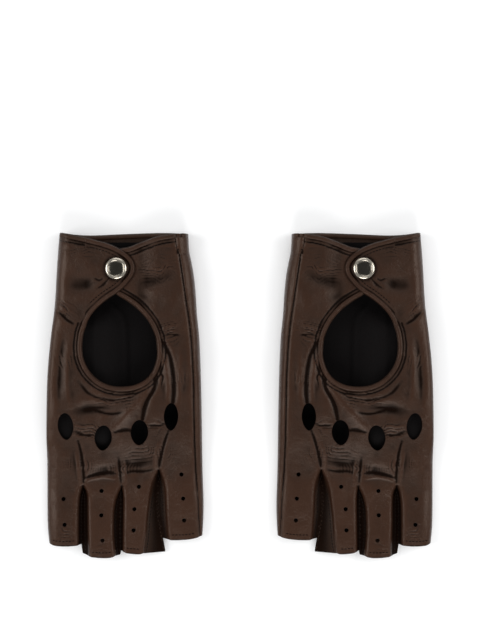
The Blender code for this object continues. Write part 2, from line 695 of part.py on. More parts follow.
def make_thumb():
    """Thumb stall: one wrapped piece, open on top over the palm's thumb hole, and a gusset."""
    half, top = THUMB_HALF_WIDTH, THUMB_HEIGHT

    def width(y):
        beyond = max(y - THUMB[1], 0.0)
        return math.sqrt(half * half - beyond * beyond)

    back = 0.88 * half
    rows = [THUMB[1] - THUMB_LENGTH, THUMB[1] - 0.5 * THUMB_LENGTH]
    rows += [THUMB[1] + back * i / 5 for i in range(6)]
    gusset = LEATHER + CLEARANCE
    stall = sheet("thumb_stall", rows,
                  lambda y: wrap_section(THUMB[0] - width(y), THUMB[0] + width(y) - gusset, top, THUMB_ROUND),
                  LEATHER, True, BROWN)
    boolean(stall, [round_cutter("thumb_way_in", THUMB, THUMB_HOLE_RADIUS, top / 2.0)])
    side = sheet("thumb_gusset", rows[:3],
                 lambda y: [(THUMB[0] + width(y), z) for z in (0.0, top / 2.0, top)],
                 LEATHER, False, BROWN)
    return [stall, side]


def main():
    empties = hinge_empties()
    groups = [("hand", make_hand() + make_bindings() + make_snap_stud())]
    groups.append(("tab", make_tab() + make_snap_cap()))
    groups += [(place[0], make_finger(place)) for place in PLACES]
    groups.append(("thumb", make_thumb()))
    for body, pieces in groups:
        for piece in pieces:
            place_on_both_gloves(piece, body, empties)


main()
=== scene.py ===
"""Pair of fingerless leather driving gloves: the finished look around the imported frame.

Shapes are given for the left glove in millimetres: across from the glove's middle line,
positive towards the little finger, then along the glove, positive towards the cuff. The
right glove is its reflection. Leather sheets are cut as flat patterns with their holes,
laid over the glove's height, given their thickness and split where the glove bends.
"""
import json
import math

import bpy
import numpy as np
from bpy.props import FloatProperty, FloatVectorProperty, IntProperty, PointerProperty
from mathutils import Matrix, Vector
from mathutils.geometry import delaunay_2d_cdt
from mathutils.kdtree import KDTree


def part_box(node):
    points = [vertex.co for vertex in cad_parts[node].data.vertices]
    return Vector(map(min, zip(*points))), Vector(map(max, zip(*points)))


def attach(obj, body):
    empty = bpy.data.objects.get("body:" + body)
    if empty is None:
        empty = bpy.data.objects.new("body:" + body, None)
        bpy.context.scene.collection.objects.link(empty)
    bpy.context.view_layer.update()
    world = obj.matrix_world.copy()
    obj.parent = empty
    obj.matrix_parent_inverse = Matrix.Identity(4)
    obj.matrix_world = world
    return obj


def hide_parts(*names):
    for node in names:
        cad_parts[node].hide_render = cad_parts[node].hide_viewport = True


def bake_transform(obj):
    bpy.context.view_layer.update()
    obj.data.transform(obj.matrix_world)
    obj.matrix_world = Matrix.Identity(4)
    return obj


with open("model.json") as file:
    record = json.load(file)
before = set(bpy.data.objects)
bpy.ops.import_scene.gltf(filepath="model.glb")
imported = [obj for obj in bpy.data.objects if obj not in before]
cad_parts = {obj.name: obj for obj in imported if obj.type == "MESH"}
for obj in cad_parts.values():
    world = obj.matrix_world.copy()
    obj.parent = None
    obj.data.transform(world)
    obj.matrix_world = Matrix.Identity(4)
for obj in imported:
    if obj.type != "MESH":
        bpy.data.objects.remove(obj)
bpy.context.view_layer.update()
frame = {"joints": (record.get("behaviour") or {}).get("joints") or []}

bl_info = {
    "name": "Leather Driving Gloves",
    "version": (1, 0, 0),
    "blender": (4, 5, 0),
    "location": "View3D > Sidebar > Gloves",
    "description": "Builds a pair of fingerless leather driving gloves and their studio",
    "category": "Object",
}

MM = 0.001
SIDES = ("left", "right")


# ---------------------------------------------------------------- places from the frame
def node_centre(node):
    low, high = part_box(node)
    return (low + high) / 2.0 / MM


def node_top(node):
    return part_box(node)[1].z / MM


MIDDLE = node_centre("left_palm_panel").x
TOP = node_top("left_wrist_tab")
FINGER_TOP = node_top("left_middle_back")
RECESS_ROOM = 0.4               # free height over the folded thumb stall
PALM_RECESS = node_top("left_thumb_stall") + RECESS_ROOM
SNAP = np.array([node_centre("left_snap_cap").x - MIDDLE, node_centre("left_snap_cap").y])
STUD_FOOT = 1.0                 # the stud reaches this far below the top of the underlap
UNDERLAP_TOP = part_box("left_snap_stud")[0].z / MM + STUD_FOOT
THUMB_SWING = next(joint for joint in frame["joints"] if joint["name"] == "left_thumb_swing")["pos_m"]
THUMB = np.array([THUMB_SWING[0] / MM - MIDDLE, THUMB_SWING[1] / MM])

# Lines where the leather starts to bend: the knuckles, the little finger and the tab
BEND = -53.5
LITTLE_BEND = -44.5
TAB_BEND = -21.9
TAB_BEND_LENGTH = 8.0

# Rounding of the leather: radii at the outer sides and at the gaps between fingers, and how
# far up from palm to back the two edges of a gap and the sides' widest line lie
BACK_ROLL, PALM_ROLL = 6.5, 6.0
GAP_ROLL, PALM_GAP_ROLL = 2.2, 3.0
BACK_SHARE, PALM_SHARE = 0.66, 0.34
SIDE_SHARE = 0.53

# The back's height along and across the glove, and the rise of the palm over the thumb stall
RISE_START, RISE_LENGTH = -52.0, 50.0
FINGER_SAG, HAND_SAG = 0.9, 0.5
CROWN, HALF_WIDTH = 1.3, 44.0
RECESS_SLOPE = 17.0
RECESS_ACROSS, RECESS_BELOW, RECESS_ABOVE = 34.0, 60.0, 33.5
PALM_SKIN = 0.25
CLOTH = 0.5                     # thickness of the lining

# Corners of the outline along the glove, and the spacing of its points
INDEX_TIP, INDEX_CUFF = -84.8, 92.2
LITTLE_TIP, LITTLE_CUFF = -80.4, 91.8
RING_STEP = 0.8
ROLL_FACETS, ROLL_SQUARENESS = 14, 0.8
THREAD_FACETS = 6
DOME_SHARE = 0.62               # the dome's share of the snap cap's radius
FOURCHETTE_ROWS, FOURCHETTE_COLUMNS = 44, 8
SHORTEST_ROW = 6                # points of a row of stitches
PALM_STEP, PALM_BEND_STEP = 1.7, 1.6
SLIT_STEPS = 48


# ---------------------------------------------------------------- outlines of the left glove
INDEX_EDGE = [(-37.2, 93.5), (-37.4, 91.2), (-38.1, 83.4), (-39.0, 70.3), (-39.7, 57.2), (-40.7, 44.1),
              (-42.2, 31.1), (-43.5, 18.0), (-44.2, 4.8), (-44.5, -10.0), (-44.7, -25.7), (-44.7, -48.5),
              (-44.6, -71.3), (-43.9, -82.0), (-43.4, -85.6), (-43.2, -88.0)]
LITTLE_EDGE = [(35.9, 93.5), (36.0, 91.3), (36.5, 82.0), (38.0, 74.5), (39.4, 66.0), (40.3, 56.0),
               (40.9, 46.0), (42.1, 34.3), (42.8, 21.2), (43.3, 5.0), (43.7, -16.8), (44.0, -43.0),
               (44.6, -62.6), (44.2, -76.0), (43.8, -81.5), (43.7, -88.0)]
SIDE_SEAM = [(28.7, 93.5), (29.6, 86.0), (31.0, 80.1), (33.0, 67.0), (34.9, 53.9), (36.8, 40.9),
             (38.1, 27.8), (39.1, 8.2), (39.5, -16.8), (40.3, -43.0), (41.5, -59.3), (42.5, -81.6),
             (42.6, -88.0)]
CUFF_EDGE = [(-37.4, 92.2), (-33.0, 91.4), (-27.5, 90.4), (TAB_BEND, 89.2)]
TAB_EDGE = [(TAB_BEND, 89.2), (-18.7, 88.4), (-11.5, 86.5), (-5.6, 84.3), (-0.4, 81.4), (3.4, 78.2),
            (5.4, 74.8), (5.8, 71.5), (4.9, 68.2), (2.6, 64.9), (-0.6, 61.3), (-4.4, 58.1),
            (-9.2, 55.0), (-14.6, 50.6), (-18.6, 46.2), (-20.8, 42.4), (TAB_BEND, 39.4)]
OPENING_EDGE = [(TAB_BEND, 39.4), (-23.4, 34.6), (-24.1, 27.4), (-23.2, 20.6), (-20.0, 14.0),
                (-14.6, 8.6), (-8.4, 5.7), (-2.2, 4.8), (5.2, 5.6), (11.6, 8.6), (16.0, 13.6),
                (18.4, 20.4), (18.8, 26.8), (17.6, 34.0), (13.9, 42.0), (8.0, 48.9), (2.4, 53.2),
                (-3.0, 56.4)]
UNDERLAP_EDGE = [(-3.0, 56.4), (-8.8, 60.6), (-12.8, 67.5), (-12.8, 74.5), (-9.8, 79.6), (-4.6, 82.4),
                 (2.9, 83.9), (9.5, 86.6), (18.8, 89.8), (26.4, 91.2), (29.4, 91.6)]
SEAM_CORNER = (32.4, 91.7)
PALM_CUFF = [(-37.4, 92.2), (-30.0, 91.4), (-19.0, 90.9), (0.0, 91.7), (20.0, 92.3), (35.9, 91.8)]
KNUCKLE_HOLES = [(-33.4, -17.6, 4.65, 7.9, 4.0), (-12.2, -24.2, 5.1, 7.5, -6.0),
                 (8.4, -21.1, 5.2, 7.5, -4.0), (26.4, -12.1, 4.3, 8.1, -2.0)]
VENTS = [(-35.0, -59.1), (-34.3, -73.7), (-13.4, -54.6), (-13.6, -68.5), (-12.9, -82.8), (7.8, -52.2),
         (5.2, -65.0), (4.8, -77.0), (32.1, -45.1), (33.1, -58.8), (33.6, -71.3)]
VENT_RADIUS = 1.45
THUMB_SLIT = (-33.5, 20.5, 4.6, 10.0, 0.0)
# Side edges of the back at each gap between fingers, from the fingertip to the crotch and back
BACK_GAPS = [
    ([(-26.3, -85.5), (-26.3, -75.0), (-26.1, -62.0), (-25.2, -55.5), (-24.0, -52.3)],
     [(-24.0, -52.3), (-22.5, -55.0), (-21.8, -60.0), (-21.7, -75.0), (-21.2, -91.8)]),
    ([(-5.2, -91.6), (-6.2, -84.0), (-6.6, -75.0), (-6.2, -65.0), (-4.6, -58.0), (-2.0, -52.4)],
     [(-2.0, -52.4), (-1.3, -58.0), (-1.3, -66.0), (-1.5, -78.0), (-1.6, -89.4)]),
    ([(10.6, -90.3), (11.9, -82.2), (13.0, -69.1), (14.6, -56.0), (16.4, -49.0), (19.2, -43.3)],
     [(19.2, -43.3), (21.3, -49.0), (22.3, -56.0), (22.9, -69.1), (24.2, -82.4)]),
]
# The palm's edges meet along one line at each gap, from the crotch to the shorter fingertip,
# and the longer finger's edge goes on to its own tip
PALM_GAP_LINES = [[(-24.2, -52.8), (-24.8, -58.0), (-25.1, -66.0), (-25.2, -76.0), (-25.2, -85.3)],
                  [(-2.3, -53.0), (-2.8, -60.0), (-3.0, -70.0), (-3.0, -80.0), (-2.9, -89.0)],
                  [(19.2, -43.4), (18.4, -51.0), (18.0, -60.0), (18.8, -70.0), (21.0, -81.8)]]
PALM_GAP_TIPS = [([], [(-24.6, -90.6)]), ([(-3.2, -91.4)], []), ([(22.4, -89.6)], [])]
PALM_GAP = 0.06
PALM_GAPS = [([(x - PALM_GAP, y) for x, y in line + left][::-1], [(x + PALM_GAP, y) for x, y in line + right])
             for line, (left, right) in zip(PALM_GAP_LINES, PALM_GAP_TIPS)]
BACK_ENDS = [[(-43.4, -84.8), (-40.0, -85.6), (-33.0, -85.9), (-26.3, -85.5)],
             [(-21.2, -91.8), (-16.0, -92.4), (-10.0, -92.5), (-5.2, -91.6)],
             [(-1.6, -89.4), (3.0, -90.1), (7.0, -90.4), (10.6, -90.3)],
             [(24.2, -82.4), (33.0, -82.2), (38.5, -81.5), (42.4, -80.8)]]
PALM_ENDS = [[(-43.4, -84.8), (-40.0, -85.4), (-33.0, -85.6), (-25.3, -85.3)],
             [(-24.5, -90.6), (-17.0, -91.8), (-10.0, -92.0), (-3.3, -91.4)],
             [(-2.8, -89.0), (5.0, -89.9), (14.0, -90.2), (22.3, -89.6)],
             [(21.1, -81.8), (32.0, -81.9), (39.0, -81.0), (43.8, -79.6)]]


# ---------------------------------------------------------------- plane curves
def ease(value):
    """From 0 to 1 with level ends."""
    value = np.clip(value, 0.0, 1.0)
    return value * value * (3.0 - 2.0 * value)


def unit(vectors):
    """The vectors at length one."""
    return vectors / np.maximum(np.linalg.norm(vectors, axis=-1), 1e-9)[..., None]


def flow(points, step, closed=False):
    """A smooth curve through the points, with points an even step apart."""
    p = np.array(points, float)
    ends = (p[-1:], p[:2]) if closed else (2 * p[:1] - p[1:2], 2 * p[-1:] - p[-2:-1])
    p = np.vstack([ends[0], p, ends[1]])
    t = np.linspace(0.0, 1.0, 12, endpoint=False)[:, None]
    spans = [0.5 * (2 * b + (c - a) * t + (2 * a - 5 * b + 4 * c - d) * t ** 2
                    + (3 * b - a - 3 * c + d) * t ** 3) for a, b, c, d in zip(p, p[1:], p[2:], p[3:])]
    fine = np.vstack(spans + [p[-2:-1]])
    length = np.r_[0.0, np.cumsum(np.linalg.norm(np.diff(fine, axis=0), axis=1))]
    count = max(2, round(length[-1] / step))
    at = np.linspace(0.0, length[-1], count + 1)
    even = np.column_stack([np.interp(at, length, fine[:, k]) for k in range(fine.shape[1])])
    return even[:-1] if closed else even


def side_line(points):
    """Place across the glove of a side line, as a function of the place along it."""
    line = flow(points, 0.5)[::-1]
    return lambda y: np.interp(y, line[:, 1], line[:, 0])


index_side = side_line(INDEX_EDGE)
little_side = side_line(LITTLE_EDGE)
seam_side = side_line(SIDE_SEAM)
FINGER_SPLITS = [side_line(line + left) for line, (left, _) in zip(PALM_GAP_LINES, PALM_GAP_TIPS)]
# Where the ring finger's bending line ends and the little finger's starts
RING_LIMIT, LITTLE_LIMIT = float(FINGER_SPLITS[2](BEND)), float(FINGER_SPLITS[2](LITTLE_BEND))


def tree_of(points):
    """Plane points in a tree for finding distances."""
    tree = KDTree(len(points))
    for i, (x, y) in enumerate(points):
        tree.insert((x, y, 0.0), i)
    tree.balance()
    return tree


def distance(tree, x, y):
    """Distance of each place from the nearest point of a tree."""
    found = [tree.find((a, b, 0.0))[2] for a, b in zip(np.ravel(x), np.ravel(y))]
    return np.array(found).reshape(np.shape(x))


BACK_GAP_TREE = tree_of(np.vstack([flow(side, 0.15) for gap in BACK_GAPS for side in gap]))
PALM_GAP_TREE = tree_of(np.vstack([flow(side, 0.15) for gap in PALM_GAPS for side in gap]))
TAB_EDGE_TREE = tree_of(flow(TAB_EDGE, 0.2))


def bound_opening(step):
    """The bound edge of the back: round the wrist opening, and on along the underlap."""
    return np.vstack([flow(OPENING_EDGE, step)[:-1], flow(UNDERLAP_EDGE, step)])


def offset_line(line, distance_in):
    """A plane line moved sideways: to its right when positive."""
    along = unit(np.gradient(line, axis=0))
    return line + distance_in * np.column_stack([along[:, 1], -along[:, 0]])


STITCH_INSET = 4.5
FINGER_LIGHT_START = -42.0            # painted light: the fingers are painted lighter from here on, where the front light falls
BINDING_INNER = 2.8             # from an edge to the inner side of its binding
BACK_LEVEL = 8.0                # everything above this height belongs to the back
OPENING_STITCHES = offset_line(bound_opening(0.5), STITCH_INSET)
TAB_ROOT = np.column_stack([np.full(60, TAB_BEND), np.linspace(TAB_EDGE[-1][1], TAB_EDGE[0][1], 60)])
TAB_STITCHES = offset_line(flow(TAB_EDGE, 0.5), STITCH_INSET)
TAB_STITCHES = TAB_STITCHES[TAB_STITCHES[:, 0] > TAB_BEND + 0.5]
CUFF_STITCHES = flow([(TAB_BEND, 84.9), (-31.0, 86.6), (-37.4, 87.9)], 0.5)
TAB_STITCH_TREE = tree_of(TAB_STITCHES)
BACK_END_TREE = tree_of(np.vstack([flow(end, 0.2) for end in BACK_ENDS]))
BACK_STITCH_TREE = tree_of(np.vstack([OPENING_STITCHES, CUFF_STITCHES]))
BACK_BOUND_TREE = tree_of(np.vstack([flow(edge, 0.3) for edge in (OPENING_EDGE, UNDERLAP_EDGE, CUFF_EDGE)]))


# ---------------------------------------------------------------- relief of the leather
def soft_noise(x, y, size, seed):
    """Smooth noise from -1 to 1 with features of the given size."""
    lattice = np.random.default_rng(seed).uniform(-1.0, 1.0, (61, 61))
    x, y = x / size + 400.0, y / size + 400.0
    i, j = np.floor(x).astype(int), np.floor(y).astype(int)
    s, t = ease(x - i), ease(y - j)
    i, j = i % 60, j % 60
    low = lattice[i, j] * (1 - s) + lattice[i + 1, j] * s
    high = lattice[i, j + 1] * (1 - s) + lattice[i + 1, j + 1] * s
    return low * (1 - t) + high * t


# Folds: a line of points, half width and height; a negative height is a valley
FOLDS = [
    ([(18.5, 33.0), (22.5, 29.0), (25.8, 22.0), (27.6, 12.0), (28.0, 2.0), (27.2, -5.5)], 1.3, -0.75),
    ([(16.0, 29.0), (20.5, 24.0), (23.4, 15.0), (24.8, 4.0), (24.4, -4.0)], 1.6, 0.5),
    ([(31.5, 26.0), (31.6, 14.0), (31.2, 2.0), (30.4, -8.0)], 1.8, 0.35),
    ([(18.0, 11.0), (16.8, 4.0), (13.4, -2.0), (11.4, -7.5), (10.2, -14.5)], 1.4, -0.8),
    ([(13.8, 5.5), (10.4, -0.5), (4.4, -7.5), (-2.0, -14.5), (-7.0, -20.0)], 3.2, 0.75),
    ([(-6.5, -21.0), (0.0, -19.5), (4.0, -20.0)], 1.2, -0.35),
    ([(-22.8, -48.6), (-18.0, -47.4), (-12.0, -46.6), (-6.0, -47.6)], 0.8, 0.55),
    ([(-22.4, -47.0), (-17.0, -45.4), (-10.0, -44.2), (-5.0, -44.8)], 1.1, -0.6),
    ([(-3.0, -45.2), (4.0, -43.6), (11.0, -43.4), (17.4, -42.0)], 1.2, -0.35),
    ([(-23.4, -51.5), (-23.6, -44.0), (-24.6, -34.0), (-26.4, -26.0)], 0.9, -0.5),
    ([(-25.8, -50.0), (-26.4, -42.0), (-27.6, -33.0)], 1.0, 0.35),
    ([(-2.2, -51.6), (-3.0, -44.0), (-3.6, -36.0)], 0.9, -0.45),
    ([(0.4, -50.0), (0.0, -43.0), (-0.6, -37.0)], 0.9, 0.3),
    ([(19.2, -42.6), (20.2, -36.0), (22.2, -28.0), (24.6, -20.6)], 1.0, -0.55),
    ([(16.6, -42.0), (17.4, -34.0), (19.0, -27.0)], 1.1, 0.3),
    ([(-41.0, 50.0), (-37.0, 47.0), (-32.6, 42.8), (-28.8, 40.6)], 1.0, -0.5),
    ([(-39.2, 54.0), (-35.6, 51.4), (-32.0, 48.6)], 0.7, -0.3),
    ([(-40.0, 57.0), (-37.0, 54.4), (-34.4, 52.8)], 0.6, -0.22),
    ([(-38.5, 40.0), (-40.3, 28.0), (-41.6, 12.0), (-42.0, -8.0)], 1.2, 0.25),
    ([(-34.8, 34.0), (-36.4, 20.0), (-37.2, 4.0), (-36.6, -8.0)], 2.0, -0.4),
    ([(-31.6, 30.0), (-32.6, 16.0), (-32.4, 4.0), (-30.6, -6.0)], 1.6, 0.3),
    ([(-15.0, 60.6), (-12.0, 62.6), (-9.0, 66.2)], 0.9, -0.4),
    ([(-17.0, 66.4), (-14.0, 65.2), (-11.6, 66.6)], 0.8, -0.3),
    ([(21.2, 33.0), (26.0, 34.6), (31.0, 34.2)], 0.8, -0.32),
    ([(20.6, 37.0), (25.6, 38.8), (30.4, 39.6)], 0.9, 0.24),
    ([(-26.0, 8.0), (-20.0, 1.2), (-11.0, -2.2), (-2.0, -2.6), (7.0, -0.6)], 1.2, -0.34),
    ([(-16.0, -9.0), (-8.0, -10.4), (0.0, -9.4)], 0.9, -0.3),
    ([(-29.0, -20.5), (-22.0, -22.6), (-17.2, -22.2)], 0.8, -0.34),
    ([(-28.4, -17.0), (-22.0, -18.4), (-16.4, -17.2)], 1.0, 0.25),
    ([(13.6, -17.6), (18.0, -17.2), (22.4, -16.4)], 0.7, -0.3),
    ([(35.4, 70.0), (36.8, 50.0), (38.8, 28.0)], 1.2, -0.2),
]
# Hollows: place, half length, half width, angle, depth
HOLLOWS = [
    (-23.0, 63.0, 9.5, 5.0, 6.0, 1.0), (16.5, 65.0, 10.0, 4.6, 14.0, 0.9),
    (-19.0, -7.6, 10.5, 3.8, 8.0, 1.1), (6.0, -39.5, 9.0, 3.8, 8.0, 0.8),
    (-12.4, -43.0, 6.6, 2.6, 12.0, 0.7), (-34.0, 45.5, 4.2, 2.6, -30.0, 0.6),
    (33.0, -52.0, 8.0, 16.0, 0.0, -0.6), (-35.0, -72.0, 6.5, 10.0, 0.0, -0.5),
    (-28.0, 78.0, 10.0, 7.0, -8.0, -0.6), (26.0, 50.0, 8.0, 14.0, 0.0, -0.7),
    (33.0, -24.0, 6.0, 12.0, 0.0, -0.5), (-36.0, -40.0, 6.0, 14.0, 0.0, -0.6),
]
# Fine wrinkles: place, half length, half width, angle of the lines, spacing, depth
WRINKLES = [
    (-2.0, -2.5, 12.0, 4.5, 3.0, 1.7, 0.26), (-35.6, 50.5, 6.0, 4.6, -38.0, 1.6, 0.26),
    (-11.5, 63.5, 5.0, 4.0, 40.0, 1.5, 0.2), (26.5, 36.0, 7.5, 5.0, 12.0, 1.8, 0.24),
    (-19.0, -20.0, 11.0, 4.4, -8.0, 1.8, 0.22), (19.6, -32.0, 4.0, 7.5, 80.0, 1.5, 0.24),
    (-24.6, -40.0, 3.4, 10.0, 86.0, 1.6, 0.24), (-2.4, -42.0, 3.0, 8.0, 88.0, 1.6, 0.22),
    (10.0, -33.0, 9.0, 4.0, 6.0, 1.9, 0.18), (-36.5, -79.0, 6.0, 5.0, -40.0, 2.2, 0.16),
    (24.0, 10.0, 4.0, 14.0, 86.0, 1.8, 0.22), (-31.0, 20.0, 4.0, 16.0, 92.0, 2.0, 0.16),
    (20.0, 72.0, 12.0, 6.0, 8.0, 2.2, 0.14), (-25.0, 82.0, 10.0, 4.0, -6.0, 2.0, 0.12),
    (17.0, -18.0, 5.0, 4.0, 4.0, 1.5, 0.2), (-14.0, -87.0, 7.0, 4.0, 10.0, 2.0, 0.12),
]


def turned_place(x, y, place, angle):
    """Places seen from another place, in axes turned by an angle in degrees."""
    c, s = math.cos(math.radians(angle)), math.sin(math.radians(angle))
    dx, dy = x - place[0], y - place[1]
    return dx * c + dy * s, dy * c - dx * s


def fold_relief(x, y, points, half, height):
    """Height of one soft ridge or valley along a line, fading to its ends."""
    line = flow(points, 0.6)
    low, high = line.min(0) - 3.0 * half, line.max(0) + 3.0 * half
    near = (x > low[0]) & (x < high[0]) & (y > low[1]) & (y < high[1])
    made = np.zeros(np.shape(x))
    if near.any():
        away = np.hypot(x[near][:, None] - line[:, 0], y[near][:, None] - line[:, 1])
        nearest = away.argmin(1)
        along = nearest / (len(line) - 1.0)
        taper = np.sqrt(np.clip(np.sin(math.pi * np.clip(along, 0.02, 0.98)), 0.0, 1.0))
        made[near] = height * np.exp(-(away.min(1) / half) ** 2) * taper
    return made


def relief(x, y):
    """Height of the folds, hollows and wrinkles that soft leather keeps, in millimetres."""
    strength = bpy.context.scene.driving_gloves.wrinkle_strength
    z = 0.50 * soft_noise(x, y, 21.0, 3) + 0.22 * soft_noise(x, y, 9.0, 5) + 0.07 * soft_noise(x, y, 4.2, 7)
    for points, half, height in FOLDS:
        z = z + fold_relief(x, y, points, half, height)
    for place_x, place_y, length, width, angle, depth in HOLLOWS:
        p, q = turned_place(x, y, (place_x, place_y), angle)
        z = z - depth * np.exp(-(p / length) ** 2 - (q / width) ** 2)
    for i, (place_x, place_y, length, width, angle, spacing, depth) in enumerate(WRINKLES):
        p, q = turned_place(x, y, (place_x, place_y), angle)
        lines = np.sin(math.pi * (q / spacing + 1.3 * soft_noise(p, q, 5.5, 20 + i)))
        kept = ease(0.9 + 1.4 * soft_noise(p, q * 2.0, 4.6, 50 + i))
        patch = np.exp(-(p / length) ** 2 - (q / width) ** 2) * kept
        z = z - 1.4 * depth * patch * (np.exp(-(lines / 0.45) ** 2) - 0.35)
    return z * strength


def stitch_valley(tree, x, y):
    """Depth of the valley that a row of stitches pulls into the leather."""
    return 0.3 * np.exp(-(distance(tree, x, y) / 0.6) ** 2)


# ---------------------------------------------------------------- heights of the glove
def roll(away, radius):
    """Share of the drop of a rounded edge, from 1 at the edge to 0 a radius inside it."""
    inside = 1.0 - np.clip(away / radius, 0.0, 1.0)
    return 1.0 - np.sqrt(np.maximum(0.0, 1.0 - inside * inside))


def top_level(x, y):
    """Height of the back without its relief."""
    rise = ease((y - RISE_START) / RISE_LENGTH)
    crown = CROWN * (x / HALF_WIDTH) ** 2
    return FINGER_TOP - FINGER_SAG + (TOP - HAND_SAG - FINGER_TOP + FINGER_SAG) * rise - crown * rise


def palm_level(x, y):
    """The palm lies flat, and rises over the thumb stall that is folded under it."""
    across = ease((THUMB[0] + RECESS_ACROSS - x) / RECESS_SLOPE)
    below = ease((y - THUMB[1] + RECESS_BELOW) / RECESS_SLOPE)
    above = ease((THUMB[1] + RECESS_ABOVE - y) / RECESS_SLOPE)
    return PALM_RECESS * across * below * above + PALM_SKIN


def side_level(y, side):
    """Height of an outer side's widest line."""
    x = index_side(y) if side == "index" else little_side(y)
    return SIDE_SHARE * top_level(x, y) + (1.0 - SIDE_SHARE) * palm_level(x, y)


def gap_level(x, y, share):
    """Height at a share of the way up from the palm to the back."""
    return palm_level(x, y) * (1.0 - share) + top_level(x, y) * share


def rounded_sides(level, x, y, radius):
    """Bends a level surface to the two outer sides of the glove."""
    index = roll(x - index_side(y), radius)
    little = roll(little_side(y) - x, radius)
    level = level - (level - side_level(y, "index")) * index
    return level - (level - side_level(y, "little")) * little


def underlap_dip(x, y):
    """The underlap passes under the tab, deepest round the snap."""
    under = ease((19.0 - x) / 11.0) * ease((y - 47.0) / 10.0) * ease((x + 22.0) / 3.0)
    near_snap = 1.0 - ease((np.hypot(x - SNAP[0], y - SNAP[1]) - 5.0) / 7.0)
    level = top_level(x, y)
    return under * (level - UNDERLAP_TOP - 1.0) + under * near_snap


def back_height(x, y):
    """Height of the back leather, with its rounded sides, stitches and side seam."""
    level = top_level(x, y) + relief(x, y) * (1.0 - 0.85 * ease((underlap_dip(x, y) - 1.0) / 2.0))
    level = level - stitch_valley(BACK_STITCH_TREE, x, y)
    level = rounded_sides(level - underlap_dip(x, y), x, y, BACK_ROLL)
    drop = roll(distance(BACK_GAP_TREE, x, y), GAP_ROLL)
    level = level - (level - gap_level(x, y, BACK_SHARE)) * drop
    return level - 0.8 * np.exp(-((x - seam_side(y)) / 0.55) ** 2)


def tab_height(x, y):
    """Height of the tab, which droops at its edge and is pressed in round the snap."""
    from_root = ease((x - TAB_BEND) / TAB_BEND_LENGTH)
    droop = 1.0 * from_root * (1.0 - ease(distance(TAB_EDGE_TREE, x, y) / 5.0))
    snap_dent = 0.35 * from_root * np.exp(-((np.hypot(x - SNAP[0], y - SNAP[1]) - 6.5) / 1.6) ** 2)
    return top_level(x, y) + relief(x, y) * (1.0 - 0.4 * from_root) - droop - snap_dent


def palm_height(x, y):
    """Height of the palm leather, with its rounded sides and gaps."""
    level = palm_level(x, y) + 0.1 * (1.0 + soft_noise(x, y, 7.0, 11))
    level = rounded_sides(level, x, y, PALM_ROLL)
    drop = roll(distance(PALM_GAP_TREE, x, y), PALM_GAP_ROLL)
    return level + (gap_level(x, y, PALM_SHARE) - level) * drop


# ---------------------------------------------------------------- cutting patterns
def inside(points, ring):
    """Which points lie inside a closed ring."""
    found = np.zeros(len(points), bool)
    a, b = ring, np.roll(ring, -1, axis=0)
    for start in range(0, len(points), 4000):
        x, y = points[start:start + 4000, 0][:, None], points[start:start + 4000, 1][:, None]
        crosses = (a[:, 1] > y) != (b[:, 1] > y)
        rise = np.where(b[:, 1] == a[:, 1], 1.0, b[:, 1] - a[:, 1])
        at = a[:, 0] + (y - a[:, 1]) / rise * (b[:, 0] - a[:, 0])
        found[start:start + 4000] = (np.sum(crosses & (x < at), axis=1) % 2).astype(bool)
    return found


def snapped(ring, level, low, high):
    """Moves the ring's points that are nearest a bending line onto it."""
    ring = ring.copy()
    ahead = np.roll(ring, -1, axis=0)
    for i in np.nonzero((ring[:, 1] - level) * (ahead[:, 1] - level) < 0.0)[0]:
        j = (i + 1) % len(ring)
        t = (level - ring[i, 1]) / (ring[j, 1] - ring[i, 1])
        place = ring[i] + t * (ring[j] - ring[i])
        if low < place[0] < high:
            ring[i if t < 0.5 else j] = place
            ring[i if t < 0.5 else j, 1] = level
    return ring


def bending_cuts(ring, level, low, high, step):
    """Runs of points across the pattern along a bending line."""
    on_line = sorted(x for x, y in ring if abs(y - level) < 1e-9 and low < x < high)
    runs = [np.linspace(a, b, max(2, round((b - a) / step)) + 1)
            for a, b in zip(on_line[::2], on_line[1::2])]
    return [np.column_stack([run, np.full(len(run), level)]) for run in runs]


def pattern(ring, step, holes=(), cuts=(), rows=()):
    """Triangles over a cutting pattern: its ring, holes, bending cuts and extra rows of points."""
    points, links = [], []
    for loop in (ring, *holes):
        first = len(points)
        points += [tuple(p) for p in loop]
        links += [(first + i, first + (i + 1) % len(loop)) for i in range(len(loop))]
    for cut in cuts:
        first = len(points)
        points += [tuple(p) for p in cut]
        links += [(first + i, first + i + 1) for i in range(len(cut) - 1)]
    if len(rows):
        tree = tree_of(points)
        rows = rows[distance(tree, rows[:, 0], rows[:, 1]) > 0.3 * step]
        points += [tuple(p) for p in rows]
    low, high = ring.min(0), ring.max(0)
    xs, ys = np.arange(low[0], high[0], step), np.arange(low[1], high[1], 0.866 * step)
    grid = np.array([(x + 0.5 * step * (j % 2), y) for j, y in enumerate(ys) for x in xs])
    grid = grid[inside(grid, ring)]
    tree = tree_of(points)
    grid = grid[distance(tree, grid[:, 0], grid[:, 1]) > 0.62 * step]
    points += [tuple(p) for p in grid]
    made = delaunay_2d_cdt([Vector(p) for p in points], links, [], 0, 1e-5)
    places, faces = np.array([tuple(v) for v in made[0]]), np.array(made[2])
    middle = places[faces].mean(1)
    keep = inside(middle, ring)
    for hole in holes:
        keep &= ~inside(middle, hole)
    faces = faces[keep]
    used, faces = np.unique(faces, return_inverse=True)
    return places[used], faces.reshape(-1, 3)


def edge_rows(radius, count, step):
    """Rows of points that follow the rounded outer sides closely."""
    rows, along = [], np.arange(-92.0, 93.0, step)
    for k in range(1, count + 1):
        away = radius * (1.0 - math.cos(math.pi / 2.0 * k / count))
        rows.append(np.column_stack([index_side(along) + away, along]))
        rows.append(np.column_stack([little_side(along) - away, along]))
    return np.vstack(rows)


